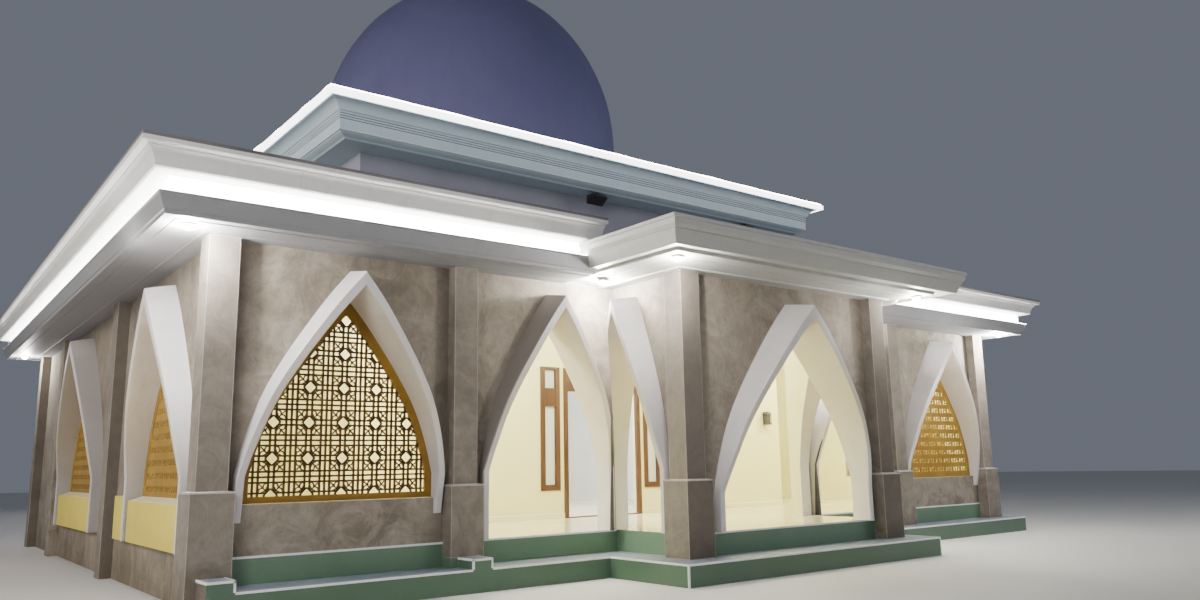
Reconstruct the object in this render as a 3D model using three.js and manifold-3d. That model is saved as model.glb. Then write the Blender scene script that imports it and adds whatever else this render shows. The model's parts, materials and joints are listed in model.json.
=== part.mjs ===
// A single-storey mosque: a square hall under a raised tier and a dome, a veranda with pointed arches
// on the front and both sides, an arched porch in the middle of the front, and a deep eaves cornice.
// Millimetres. X runs along the front to the right, Y to the back, Z up from the ground at the steps.
import * as THREE from 'three';
import { mergeVertices } from 'three/addons/utils/BufferGeometryUtils.js';
import Module from 'manifold-3d';

const wasm = await Module();
wasm.setup();

// Plan
const WIDTH = 16100;
const DEPTH = 13500;
const HALF_WIDTH = WIDTH / 2;
const PORCH_LEFT = 5716;
const PORCH_RIGHT = 10297;
const PORCH_DEPTH = 1540;
const PIER = 340;
const RECESS = 170;
const WALL = PIER - RECESS;
const FRONT_PIER_NEAR = 3107;
const SIDE_PIER_Y = 4930;
const HALL_HALF = 4960;
const HALL_FRONT = 3210;
const HALL_WALL = 150;
const GAP = 0.3;

// Levels
const STEP_TOP = 280;
const BLOCK_TOP = 400;
const FLOOR_TOP = 580;
const PEDESTAL_TOP = 1285;
const SOFFIT = 4130;
const ROOF_UNDERSIDE = 4640;
const ROOF_TOP = 4790;
const PORCH_ROOF_UNDERSIDE = 4400;
const PORCH_ROOF_TOP = 4540;

// Steps and pedestals
const STEP_OUT = 450;
const STEP_LEFT_END = 45;
const STEP_RIGHT_OVERHANG = 280;
const STEP_RETURN = 420;
const PLINTH_OUT = 20;
const PEDESTAL_OUT = 65;
const BLOCK_INSET = 30;

// Arches
const FRONT_ARCH_HALF = 1285;
const INNER_ARCH_HALF = 1100;
const PORCH_ARCH_HALF = 1690;
const PORCH_SIDE_ARCH_HALF = 620;
const PORCH_SIDE_ARCH_Y = -420;
const SIDE_FRONT_ARCH_HALF = 1485;
const SIDE_FRONT_ARCH_Y = 2170;
const SIDE_REAR_ARCH_HALF = 1800;
const SIDE_REAR_ARCH_Y = 7950;
const PILASTER_Y = 10100;
const SPRING = 1450;
const PORCH_SPRING = 1100;
const APEX = 3930;
const PORCH_APEX = 3870;
const FRAME_THICK = 90;
const FRAME_APEX_THICK = 175;
const FRAME_APEX_LOWERING = 85;
const OPENING_APEX_DROP = 330;
const FRAME_FOOT_OUT = 135;
const SIDE_FRAME_FOOT_OUT = 160;
const FRAME_APEX_OUT = 500;
const SIDE_FRAME_APEX_OUT = 376;
const PORCH_FRAME_APEX_OUT = 570;
const FRONT_FRAME_FOOT = 945;
const FRONT_SILL = 1140;
const SIDE_FRAME_FOOT = 610;
const SIDE_SILL = 1140;
const SILL_OUT = 120;
const SILL_FAR_END_Y = 4400;
const SILL_SIDE_GAP = 50;
const CORNER_REACH = 1500;

// Half of a pointed arch above its springing. Each row holds shares of the greatest value: height,
// width, and how much further the frame stands out than at its feet.
const ARCH_SHAPE = [
  [0, 1, 0],
  [0.1, 0.958, 0.16],
  [0.2, 0.905, 0.32],
  [0.3, 0.842, 0.44],
  [0.4, 0.763, 0.56],
  [0.5, 0.662, 0.66],
  [0.6, 0.548, 0.75],
  [0.7, 0.424, 0.83],
  [0.8, 0.295, 0.9],
  [0.9, 0.155, 0.96],
  [1, 0, 1],
];

// Arch lattices
const LATTICE_THICK = 40;
const LATTICE_BORDER = 90;
const LATTICE_PITCH = 420;
const LATTICE_BAR = 36;

// Main cornice: outward offset from the pier face, height. The roof slab rests on its back part.
const CORNICE = [
  [-PIER, SOFFIT],
  [604, SOFFIT],
  [692, 4358],
  [560, 4375],
  [560, 4560],
  [754, 4573],
  [778, 4660],
  [846, 4755],
  [920, 4786],
  [922, 4870],
  [800, 4870],
  [800, ROOF_TOP],
  [GAP - RECESS, ROOF_TOP],
  [GAP - RECESS, ROOF_UNDERSIDE - GAP],
  [-PIER, ROOF_UNDERSIDE - GAP],
];

// The porch has a lower and flatter cornice, and the main one stops short above it.
const PORCH_CORNICE = [
  [-PIER, SOFFIT],
  [0, SOFFIT],
  [371, 4165],
  [602, 4187],
  [612, 4232],
  [847, 4194],
  [936, 4367],
  [979, 4422],
  [1002, PORCH_ROOF_TOP],
  [GAP - RECESS, PORCH_ROOF_TOP],
  [GAP - RECESS, PORCH_ROOF_UNDERSIDE - GAP],
  [-PIER, PORCH_ROOF_UNDERSIDE - GAP],
];
const CORNICE_END_FROM_PORCH = 740;

// Raised tier over the hall
const TIER_BACK = DEPTH - RECESS;
const TIER_WALL = HALL_WALL;
const TIER_SOFFIT = 6645;
const TIER_TOP = 7290;
const TIER_ROOF = 7200;
const TIER_ROOF_THICK = 120;
const TIER_ROOF_SEAT = 75;
const TIER_CORNICE = [
  [-TIER_WALL, TIER_SOFFIT],
  [467, TIER_SOFFIT],
  [599, 6735],
  [632, 7070],
  [797, 7196],
  [893, 7205],
  [893, TIER_TOP],
  [800, TIER_TOP],
  [800, TIER_ROOF],
  [GAP - TIER_ROOF_SEAT, TIER_ROOF],
  [GAP - TIER_ROOF_SEAT, TIER_ROOF - TIER_ROOF_THICK - GAP],
  [-TIER_WALL, TIER_ROOF - TIER_ROOF_THICK - GAP],
];

// Dome
const DOME_Y = (HALL_FRONT + TIER_BACK) / 2;
const DRUM_RADIUS = 3300;
const DRUM_WALL = 150;
const DRUM_TOP = 7700;
const DOME_RADIUS = 3530;
const DOME_CENTRE = 9020;
const DOME_STRETCH = 1.17;
const DOME_SHELL = 90;
const DOME_SEGMENTS = 40;
const DOME_RINGS = 14;
const FINIAL = [[0, 0], [90, 0], [90, 60], [40, 100], [40, 200], [110, 290], [110, 350], [40, 430], [40, 560],
  [75, 620], [30, 700], [0, 1000]];

// Hall front wall openings
const DOOR_HALF = 850;
const OPENING_HEAD = 3270;
const HALL_WINDOW_NEAR = 1060;
const HALL_WINDOW_WIDTH = 300;
const HALL_WINDOW_SILL = 1130;

// The origin is on the ground, under the middle of the whole plan.
const ORIGIN_SHIFT = [-HALF_WIDTH, (PORCH_DEPTH - DEPTH) / 2, 0];
const MERGE_TOLERANCE = 1e-3;

const group = new THREE.Group();

const finish = {
  render: { color: 0x7d7369, roughness: 0.9, metalness: 0 },
  pier: { color: 0x786c62, roughness: 0.85, metalness: 0 },
  frame: { color: 0xdcd8e0, roughness: 0.6, metalness: 0 },
  lattice: { color: 0xa07314, roughness: 0.5, metalness: 0 },
  cornice: { color: 0xe6e4e0, roughness: 0.55, metalness: 0 },
  interior: { color: 0xe1dcb9, roughness: 0.7, metalness: 0 },
  step: { color: 0x486250, roughness: 0.35, metalness: 0 },
  roof: { color: 0x8a8a88, roughness: 0.9, metalness: 0 },
  tier: { color: 0x6a7078, roughness: 0.8, metalness: 0 },
  dome: { color: 0x8d9096, roughness: 0.5, metalness: 0 },
};

function add(name, solid, look) {
  const material = new THREE.MeshStandardMaterial(finish[look]);
  const mesh = new THREE.Mesh(toGeometry(solid.translate(ORIGIN_SHIFT)), material);
  mesh.name = name;
  group.add(mesh);
}

// Solids

// Closed three.js surfaces become solids once equal corners are shared and flat triangles dropped.
function toSolid(geometry) {
  const bare = geometry.clone();
  bare.deleteAttribute('normal');
  bare.deleteAttribute('uv');
  const merged = mergeVertices(bare, MERGE_TOLERANCE);
  const corners = merged.index.array;
  const kept = [];
  for (let i = 0; i < corners.length; i += 3) {
    const [a, b, c] = corners.slice(i, i + 3);
    if (a !== b && b !== c && c !== a) kept.push(a, b, c);
  }
  return new wasm.Manifold(new wasm.Mesh({
    numProp: 3,
    vertProperties: new Float32Array(merged.attributes.position.array),
    triVerts: new Uint32Array(kept),
  }));
}

function toGeometry(solid) {
  const mesh = solid.getMesh();
  const geometry = new THREE.BufferGeometry();
  geometry.setAttribute('position', new THREE.BufferAttribute(new Float32Array(mesh.vertProperties), 3));
  geometry.setIndex(new THREE.BufferAttribute(new Uint32Array(mesh.triVerts), 1));
  return geometry;
}

function box(x0, x1, y0, y1, z0, z1) {
  const geometry = new THREE.BoxGeometry(x1 - x0, y1 - y0, z1 - z0);
  geometry.translate((x0 + x1) / 2, (y0 + y1) / 2, (z0 + z1) / 2);
  return toSolid(geometry);
}

function slab(points, z0, z1) {
  const shape = new THREE.Shape(points.map(([x, y]) => new THREE.Vector2(x, y)));
  const geometry = new THREE.ExtrudeGeometry(shape, { depth: z1 - z0, bevelEnabled: false });
  geometry.translate(0, 0, z0);
  return toSolid(geometry);
}

// A solid drawn in an upright plane: across and up, then pushed from the near to the far depth.
function upright(points, near, far) {
  const shape = new THREE.Shape(points.map(([x, z]) => new THREE.Vector2(x, z)));
  const geometry = new THREE.ExtrudeGeometry(shape, { depth: far - near, bevelEnabled: false });
  geometry.rotateX(Math.PI / 2);
  geometry.translate(0, far, 0);
  return toSolid(geometry);
}

// The right half of an arch from its foot to its apex: across, up, and the frame's share of standing out.
function archHalf(half, foot, spring, apex) {
  const curve = ARCH_SHAPE.map(([up, across, out]) => [half * across, spring + (apex - spring) * up, out]);
  return foot < spring ? [[half, foot, 0], ...curve] : curve;
}

function archOutline(half, foot, spring, apex) {
  const right = archHalf(half, foot, spring, apex).map(([x, z]) => [x, z]);
  const left = right.slice(0, -1).map(([x, z]) => [-x, z]).reverse();
  return [...right, ...left];
}

// Joins rings of points into one body. The caps are the triangles that close an open run.
function loft(rings, caps) {
  const count = rings[0].length;
  const faces = [];
  const spans = caps ? rings.length - 1 : rings.length;
  for (let i = 0; i < spans; i += 1) {
    const near = i * count;
    const far = ((i + 1) % rings.length) * count;
    for (let j = 0; j < count; j += 1) {
      const next = (j + 1) % count;
      faces.push(near + j, far + j, near + next);
      faces.push(near + next, far + j, far + next);
    }
  }
  const last = spans * count;
  for (const [a, b, c] of caps || []) faces.push(a, b, c, last + a, last + c, last + b);
  const geometry = new THREE.BufferGeometry();
  geometry.setAttribute('position', new THREE.Float32BufferAttribute(rings.flat(2), 3));
  geometry.setIndex(faces);
  return toSolid(geometry);
}

// Turns a solid drawn for the front to another side: across is x, into the wall is y.
const TURN = { front: 0, left: -90, back: 180, right: 90 };

function facing(solid, side, x, y) {
  return solid.rotate([0, 0, TURN[side]]).translate([x, y, 0]);
}

// Steps, floor and piers

const FRONT_PIERS = [FRONT_PIER_NEAR, WIDTH - FRONT_PIER_NEAR - PIER];

const plinthFace = RECESS - PLINTH_OUT;
const stepBack = plinthFace - GAP;

// A pier on the front has a pedestal that ends at the plinth; on a corner it turns the corner too.
function pedestal(x, y, foot, corner) {
  const out = PEDESTAL_OUT;
  const solid = box(x - out, x + PIER + out, y - out, y + stepBack, foot, PEDESTAL_TOP);
  if (corner === 'left') {
    return solid.add(box(x - out, x + stepBack, y - out, y + PIER + out, foot, PEDESTAL_TOP));
  }
  if (corner === 'right') {
    return solid.add(box(x + PIER - stepBack, x + PIER + out, y - out, y + PIER + out, foot, PEDESTAL_TOP));
  }
  return solid;
}

function shaft(x, y, foot) {
  return box(x, x + PIER, y, y + PIER, foot, SOFFIT - GAP);
}

const frontPiers = [
  ['corner_pier_front_left', 0, 0, 0, 'left'],
  ['front_pier_left', FRONT_PIERS[0], 0, BLOCK_TOP, ''],
  ['front_pier_right', FRONT_PIERS[1], 0, STEP_TOP, ''],
  ['corner_pier_front_right', WIDTH - PIER, 0, STEP_TOP, 'right'],
  ['porch_pier_left', PORCH_LEFT, -PORCH_DEPTH, STEP_TOP, 'left'],
  ['porch_pier_right', PORCH_RIGHT - PIER, -PORCH_DEPTH, STEP_TOP, 'right'],
];
for (const [name, x, y, foot, corner] of frontPiers) {
  const bottom = foot > 0 ? foot + GAP : 0;
  add(name, shaft(x, y, bottom).add(pedestal(x, y, bottom, corner)), 'pier');
}
add('corner_pier_back_left', shaft(0, DEPTH - PIER, 0), 'pier');
add('corner_pier_back_right', shaft(WIDTH - PIER, DEPTH - PIER, 0), 'pier');
add('side_pier_left', shaft(0, SIDE_PIER_Y, 0), 'pier');
add('side_pier_right', shaft(WIDTH - PIER, SIDE_PIER_Y, 0), 'pier');

// The outline of the raised floor: inset from the pier faces on the front, inside the side walls.
function floorPlan(front) {
  const side = PIER + front - stepBack;
  return [
    [side, DEPTH - side],
    [side, front],
    [PORCH_LEFT + front, front],
    [PORCH_LEFT + front, front - PORCH_DEPTH],
    [PORCH_RIGHT - front, front - PORCH_DEPTH],
    [PORCH_RIGHT - front, front],
    [WIDTH - side, front],
    [WIDTH - side, DEPTH - side],
  ];
}

let floorSlab = slab(floorPlan(plinthFace), 0, FLOOR_TOP);
const stepOutline = [
  [STEP_LEFT_END, STEP_RETURN],
  [STEP_LEFT_END, -STEP_OUT],
  [PORCH_LEFT - STEP_OUT, -STEP_OUT],
  [PORCH_LEFT - STEP_OUT, -PORCH_DEPTH - STEP_OUT],
  [PORCH_RIGHT + STEP_OUT, -PORCH_DEPTH - STEP_OUT],
  [PORCH_RIGHT + STEP_OUT, -STEP_OUT],
  [WIDTH + STEP_RIGHT_OVERHANG, -STEP_OUT],
  [WIDTH + STEP_RIGHT_OVERHANG, STEP_RETURN],
];
const sideWalls = box(RECESS - GAP, WIDTH - RECESS + GAP, PIER, DEPTH, -1, FLOOR_TOP);
let lowerStep = slab(stepOutline, 0, STEP_TOP)
  .subtract(slab(floorPlan(stepBack), -1, FLOOR_TOP))
  .subtract(sideWalls);
for (const [, x, y, foot, corner] of frontPiers) {
  floorSlab = floorSlab.subtract(box(x - GAP, x + PIER + GAP, y - GAP, y + PIER + GAP, -1, SOFFIT));
  if (foot > 0) {
    const under = pedestal(x, y, 0, corner).add(box(x, x + PIER, y, y + PIER, 0, foot));
    lowerStep = lowerStep.add(under.intersect(box(-STEP_OUT, WIDTH + STEP_OUT, -DEPTH, DEPTH, 0, foot)));
  }
  if (foot === BLOCK_TOP) {
    const tongue = box(x + BLOCK_INSET, x + PIER - BLOCK_INSET, -STEP_OUT, 0, STEP_TOP - 1, BLOCK_TOP);
    lowerStep = lowerStep.add(tongue);
  }
}
// The left corner pier stands on the ground; the step ends in a block before it.
const cornerReach = PEDESTAL_OUT + GAP;
lowerStep = lowerStep
  .add(box(STEP_LEFT_END, PIER, -STEP_OUT, 0, 0, BLOCK_TOP))
  .subtract(box(-cornerReach, PIER + cornerReach, -cornerReach, STEP_RETURN + 1, -1, FLOOR_TOP));
add('floor_slab', floorSlab, 'step');
add('lower_step', lowerStep, 'step');

// Walls with pointed openings, their projecting frames and their lattices

// A frame is a blade that stands out further towards its apex, where its front edge also sits lower.
function frameSolid({ half, foot, spring, apex, footOut, out }) {
  const frontApex = apex - FRAME_APEX_LOWERING;
  const inside = half - FRAME_THICK;
  const outer = archHalf(half, foot, spring, apex);
  const outerFront = archHalf(half, foot, spring, frontApex);
  const innerFront = archHalf(inside, foot, spring, frontApex - FRAME_APEX_THICK);
  const inner = archHalf(inside, foot, spring, apex - OPENING_APEX_DROP);
  const rings = outer.map(([x, z, share], i) => {
    const y = -(footOut + (out - footOut) * share);
    return [
      [x, -GAP, z],
      [outerFront[i][0], y, outerFront[i][1]],
      [innerFront[i][0], y, innerFront[i][1]],
      [inner[i][0], -GAP, inner[i][1]],
    ];
  });
  const mirrored = rings.slice(0, -1).reverse().map((ring) => ring.map(([x, y, z]) => [-x, y, z]));
  return loft([...rings, ...mirrored], [[0, 1, 2], [0, 2, 3]]);
}

// Keeps the part of a frame on its own side of the mitre in an inner corner of the front.
function mitred(frame, cornerAt) {
  const side = Math.sign(cornerAt);
  const edge = cornerAt - side * GAP;
  return frame.intersect(slab([
    [edge, 0],
    [edge - side * CORNER_REACH, -CORNER_REACH],
    [-side * 2 * CORNER_REACH, -CORNER_REACH],
    [-side * 2 * CORNER_REACH, 0],
  ], 0, SOFFIT));
}

function latticeSolid(half, foot, spring, apex) {
  const y0 = (WALL - LATTICE_THICK) / 2;
  const y1 = y0 + LATTICE_THICK;
  const panel = upright(archOutline(half, foot, spring, apex), y0, y1);
  const field = upright(archOutline(half - LATTICE_BORDER, foot + LATTICE_BORDER, spring,
    apex - 2 * LATTICE_BORDER), y0 - 1, y1 + 1);
  let solid = panel.subtract(field);
  const columns = Math.floor(half / LATTICE_PITCH);
  for (let i = -columns; i <= columns; i += 1) {
    const x = i * LATTICE_PITCH;
    const bar = box(x - LATTICE_BAR / 2, x + LATTICE_BAR / 2, y0, y1, foot, apex);
    solid = solid.add(bar.intersect(panel));
  }
  for (let z = foot + LATTICE_PITCH; z < apex; z += LATTICE_PITCH) {
    const bar = box(-half, half, y0, y1, z - LATTICE_BAR / 2, z + LATTICE_BAR / 2);
    solid = solid.add(bar.intersect(panel));
  }
  return solid;
}

function addBay(name, side, at, panel, kind, half, cornerAt) {
  const { spring, apex, footOut, out } = kind;
  const opening = [half - FRAME_THICK, kind.openFoot, spring, apex - OPENING_APEX_DROP];
  let wall = upright([
    [panel[0], kind.wallFoot],
    [panel[1], kind.wallFoot],
    [panel[1], SOFFIT - GAP],
    [panel[0], SOFFIT - GAP],
  ], 0, WALL);
  wall = wall.subtract(upright(archOutline(...opening), -1, WALL + 1));
  for (const [from, to, outwards, foot, top] of kind.blocks || []) {
    wall = wall.add(box(from, to, -outwards, 1, foot, top));
  }
  const frame = frameSolid({ half, foot: kind.frameFoot, spring, apex, footOut, out });
  add(`${name}_wall`, facing(wall, side, ...at), 'render');
  add(`${name}_arch`, facing(cornerAt ? mitred(frame, cornerAt) : frame, side, ...at), 'frame');
  if (kind.glazed) {
    const [inside, foot, , top] = opening;
    const solid = latticeSolid(inside - GAP, foot + GAP, spring, top - 2 * GAP);
    add(`${name}_lattice`, facing(solid, side, ...at), 'lattice');
  }
}

const mainArch = { spring: SPRING, apex: APEX, footOut: FRAME_FOOT_OUT, out: FRAME_APEX_OUT };
const frontWindow = {
  ...mainArch, wallFoot: FLOOR_TOP + GAP, openFoot: FRONT_SILL, frameFoot: FRONT_FRAME_FOOT, glazed: true,
};
const sideWindow = {
  ...mainArch, wallFoot: 0, openFoot: SIDE_SILL, frameFoot: SIDE_FRAME_FOOT, glazed: true,
  footOut: SIDE_FRAME_FOOT_OUT, out: SIDE_FRAME_APEX_OUT,
};
const openArch = {
  ...mainArch, wallFoot: FLOOR_TOP + GAP, openFoot: FLOOR_TOP, frameFoot: FLOOR_TOP + GAP,
};
const porchArch = { ...openArch, spring: PORCH_SPRING, apex: PORCH_APEX, out: PORCH_FRAME_APEX_OUT };

const leftStart = PIER + GAP;
const leftEnd = FRONT_PIERS[0] - GAP;
const rightStart = FRONT_PIERS[1] + PIER + GAP;
const rightEnd = WIDTH - PIER - GAP;
const innerStart = FRONT_PIERS[0] + PIER + GAP;
const innerEnd = PORCH_LEFT + RECESS - GAP;
const innerRightStart = PORCH_RIGHT - RECESS + GAP;
const innerRightEnd = FRONT_PIERS[1] - GAP;

// Adds a bay on the front, its arch in the middle; cornerSide tells where it meets the porch.
function addFront(name, start, end, kind, half, cornerSide) {
  const reach = (end - start) / 2;
  addBay(name, 'front', [start + reach, RECESS], [-reach, reach], kind, half, cornerSide * reach);
}

addFront('front_left_outer', leftStart, leftEnd, frontWindow, FRONT_ARCH_HALF, 0);
addFront('front_left_inner', innerStart, innerEnd, openArch, INNER_ARCH_HALF, 1);
addFront('front_right_inner', innerRightStart, innerRightEnd, openArch, INNER_ARCH_HALF, -1);
addFront('front_right_outer', rightStart, rightEnd, frontWindow, FRONT_ARCH_HALF, 0);

const porchPanel = [PORCH_LEFT + PIER + GAP - HALF_WIDTH, PORCH_RIGHT - PIER - GAP - HALF_WIDTH];
addBay('porch_front', 'front', [HALF_WIDTH, RECESS - PORCH_DEPTH], porchPanel, porchArch, PORCH_ARCH_HALF, 0);

// The porch's side walls run from its corner piers back to the inside of the front wall.
const porchNear = PIER - PORCH_DEPTH + GAP - PORCH_SIDE_ARCH_Y;
const porchFar = PIER - PORCH_SIDE_ARCH_Y;
const porchLeftAt = [PORCH_LEFT + RECESS, PORCH_SIDE_ARCH_Y];
const porchRightAt = [PORCH_RIGHT - RECESS, PORCH_SIDE_ARCH_Y];
const cornerAt = RECESS - PORCH_SIDE_ARCH_Y;
const sideHalf = PORCH_SIDE_ARCH_HALF;
addBay('porch_left', 'left', porchLeftAt, [-porchFar, -porchNear], openArch, sideHalf, -cornerAt);
addBay('porch_right', 'right', porchRightAt, [porchNear, porchFar], openArch, sideHalf, cornerAt);

// Side walls: an arched window with a sill box each side of the middle pier. The front box runs on
// past the arch; the rear wall has a pilaster, then plain wall to the back corner.
const sideBays = [
  {
    place: 'front', start: PIER + GAP, end: SIDE_PIER_Y - GAP, centre: SIDE_FRONT_ARCH_Y,
    half: SIDE_FRONT_ARCH_HALF,
    extra: [SIDE_FRONT_ARCH_Y + SIDE_FRONT_ARCH_HALF + SILL_SIDE_GAP, SILL_FAR_END_Y, SILL_OUT,
      SIDE_FRAME_FOOT, SIDE_SILL],
  },
  {
    place: 'rear', start: SIDE_PIER_Y + PIER + GAP, end: DEPTH - PIER - GAP, centre: SIDE_REAR_ARCH_Y,
    half: SIDE_REAR_ARCH_HALF,
    extra: [PILASTER_Y, PILASTER_Y + PIER, RECESS, 0, SOFFIT - GAP],
  },
];
for (const { place, start, end, centre, half, extra } of sideBays) {
  const across = half - FRAME_THICK - SILL_SIDE_GAP;
  const sill = [-across, across, SILL_OUT, SIDE_FRAME_FOOT, SIDE_SILL];
  const [near, far, ...rest] = extra;
  const left = { ...sideWindow, blocks: [sill, [centre - far, centre - near, ...rest]] };
  const right = { ...sideWindow, blocks: [sill, [near - centre, far - centre, ...rest]] };
  addBay(`left_${place}`, 'left', [RECESS, centre], [centre - end, centre - start], left, half, 0);
  addBay(`right_${place}`, 'right', [WIDTH - RECESS, centre], [start - centre, end - centre], right, half, 0);
}

let backWall = box(PIER + GAP, WIDTH - PIER - GAP, DEPTH - PIER, DEPTH - RECESS, 0, SOFFIT - GAP);
for (const x of FRONT_PIERS) {
  backWall = backWall.add(box(x, x + PIER, DEPTH - RECESS - 1, DEPTH, 0, SOFFIT - GAP));
}
add('back_wall', backWall, 'render');

// Hall walls inside the veranda, under the tier

const HALL_LEFT = HALF_WIDTH - HALL_HALF;
const HALL_RIGHT = HALF_WIDTH + HALL_HALF;
const wallBottom = FLOOR_TOP + GAP;
const wallTop = ROOF_UNDERSIDE - GAP;
let hallFront = box(HALL_LEFT, HALL_RIGHT, HALL_FRONT, HALL_FRONT + HALL_WALL, wallBottom, wallTop);
hallFront = hallFront.subtract(box(HALF_WIDTH - DOOR_HALF, HALF_WIDTH + DOOR_HALF,
  HALL_FRONT - 1, HALL_FRONT + HALL_WALL + 1, wallBottom - 1, OPENING_HEAD));
for (const side of [-1, 1]) {
  const a = HALF_WIDTH + side * HALL_WINDOW_NEAR;
  const b = a + side * HALL_WINDOW_WIDTH;
  hallFront = hallFront.subtract(box(Math.min(a, b), Math.max(a, b),
    HALL_FRONT - 1, HALL_FRONT + HALL_WALL + 1, HALL_WINDOW_SILL, OPENING_HEAD));
}
add('hall_front_wall', hallFront, 'interior');
const hallSideStart = HALL_FRONT + HALL_WALL + GAP;
const hallSideEnd = DEPTH - PIER - GAP;
for (const [side, x] of [['left', HALL_LEFT], ['right', HALL_RIGHT - HALL_WALL]]) {
  const wall = box(x, x + HALL_WALL, hallSideStart, hallSideEnd, wallBottom, wallTop);
  add(`hall_${side}_wall`, wall, 'interior');
}

// Main roof and its cornice

const hallVoid = box(HALL_LEFT + HALL_WALL, HALL_RIGHT - HALL_WALL,
  HALL_FRONT + HALL_WALL, TIER_BACK - TIER_WALL, 0, TIER_TOP);
const beamLeft = PORCH_LEFT + PIER + GAP;
const beamRight = PORCH_RIGHT - PIER - GAP;
const roofSlab = box(RECESS, WIDTH - RECESS, RECESS, DEPTH - RECESS, ROOF_UNDERSIDE, ROOF_TOP)
  .subtract(hallVoid)
  .add(box(beamLeft, beamRight, RECESS, PIER, SOFFIT, ROOF_UNDERSIDE + 1));
add('roof_slab', roofSlab, 'roof');
add('porch_roof', box(PORCH_LEFT + RECESS, PORCH_RIGHT - RECESS, RECESS - PORCH_DEPTH, RECESS - GAP,
  PORCH_ROOF_UNDERSIDE, PORCH_ROOF_TOP), 'roof');

// Sweeps a profile past stations: each is a plan point and the direction its mitre cuts outwards.
function sweep(profile, stations, closed) {
  const rings = stations.map(([x, y, outX, outY]) => (
    profile.map(([out, z]) => [x + out * outX, y + out * outY, z])
  ));
  const outline = profile.map(([out, z]) => new THREE.Vector2(out, z));
  return loft(rings, closed ? null : THREE.ShapeUtils.triangulateShape(outline, []));
}

const slack = GAP / 2;
const porchStations = [
  [PORCH_LEFT, RECESS - GAP, -1, 0],
  [PORCH_LEFT, -PORCH_DEPTH, -1, -1],
  [PORCH_RIGHT, -PORCH_DEPTH, 1, -1],
  [PORCH_RIGHT, RECESS - GAP, 1, 0],
];
add('cornice_porch', sweep(PORCH_CORNICE, porchStations, false), 'cornice');

// The front cornice stops above the porch roof; behind the piers it runs on as the beam under the roof.
const endLeft = PORCH_LEFT - CORNICE_END_FROM_PORCH;
const endRight = PORCH_RIGHT + CORNICE_END_FROM_PORCH;
const porchOut = Math.max(...PORCH_CORNICE.map(([out]) => out)) + GAP;
const porchBlock = box(PORCH_LEFT - porchOut, PORCH_RIGHT + porchOut, -PORCH_DEPTH, RECESS,
  0, PORCH_ROOF_TOP + GAP);
function beam(x0, x1) {
  const back = box(x0, x1, RECESS, PIER, SOFFIT, ROOF_UNDERSIDE - GAP);
  return back.add(box(x0, x1, 0, RECESS - GAP, SOFFIT, ROOF_TOP)).add(
    box(x0, x1, 0, RECESS + 1, SOFFIT, ROOF_UNDERSIDE - GAP));
}
const frontLeft = sweep(CORNICE, [[slack, 0, -1, -1], [endLeft, 0, 0, -1]], false)
  .add(beam(endLeft - 1, PORCH_LEFT + PIER))
  .subtract(porchBlock);
const frontRight = sweep(CORNICE, [[endRight, 0, 0, -1], [WIDTH - slack, 0, 1, -1]], false)
  .add(beam(PORCH_RIGHT - PIER, endRight + 1))
  .subtract(porchBlock);
add('cornice_front_left', frontLeft, 'cornice');
add('cornice_front_right', frontRight, 'cornice');
const cornices = {
  cornice_right: [[WIDTH, slack, 1, -1], [WIDTH, DEPTH - slack, 1, 1]],
  cornice_back: [[WIDTH - slack, DEPTH, 1, 1], [slack, DEPTH, -1, 1]],
  cornice_left: [[0, DEPTH - slack, -1, 1], [0, slack, -1, -1]],
};
for (const [name, stations] of Object.entries(cornices)) {
  add(name, sweep(CORNICE, stations, false), 'cornice');
}

// Raised tier, its cornice and roof

const tierBlock = box(HALL_LEFT, HALL_RIGHT, HALL_FRONT, TIER_BACK, ROOF_TOP + GAP, TIER_SOFFIT - GAP);
add('tier_walls', tierBlock.subtract(hallVoid), 'tier');
const tierStations = [
  [HALL_LEFT, HALL_FRONT, -1, -1],
  [HALL_RIGHT, HALL_FRONT, 1, -1],
  [HALL_RIGHT, TIER_BACK, 1, 1],
  [HALL_LEFT, TIER_BACK, -1, 1],
];
add('tier_cornice', sweep(TIER_CORNICE, tierStations, true), 'cornice');

// Dome on a low drum, open to the hall below

function lathe(points) {
  const geometry = new THREE.LatheGeometry(points.map(([r, z]) => new THREE.Vector2(r, z)), DOME_SEGMENTS);
  geometry.rotateX(Math.PI / 2);
  geometry.translate(HALF_WIDTH, DOME_Y, 0);
  return toSolid(geometry);
}

const drumInner = DRUM_RADIUS - DRUM_WALL;
const roofBottom = TIER_ROOF - TIER_ROOF_THICK;
const seat = TIER_ROOF_SEAT;
const tierRoof = box(HALL_LEFT + seat, HALL_RIGHT - seat, HALL_FRONT + seat, TIER_BACK - seat,
  roofBottom, TIER_ROOF);
const domeHole = lathe([[0, roofBottom - 1], [drumInner, roofBottom - 1], [drumInner, TIER_ROOF + 1],
  [0, TIER_ROOF + 1]]);
add('tier_roof', tierRoof.subtract(domeHole), 'roof');
add('dome_drum', lathe([[drumInner, TIER_ROOF + GAP], [DRUM_RADIUS, TIER_ROOF + GAP],
  [DRUM_RADIUS, DRUM_TOP - GAP], [drumInner, DRUM_TOP - GAP], [drumInner, TIER_ROOF + GAP]]), 'dome');

// The dome's section is an upright oval, cut off level at the top of the drum.
function domeCurve(radius) {
  const rise = radius * DOME_STRETCH;
  const first = Math.asin((DRUM_TOP - DOME_CENTRE) / rise);
  const points = [];
  for (let i = 0; i < DOME_RINGS; i += 1) {
    const angle = first + ((Math.PI / 2 - first) * i) / DOME_RINGS;
    points.push([radius * Math.cos(angle), DOME_CENTRE + rise * Math.sin(angle)]);
  }
  return [...points, [0, DOME_CENTRE + rise]];
}

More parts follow.
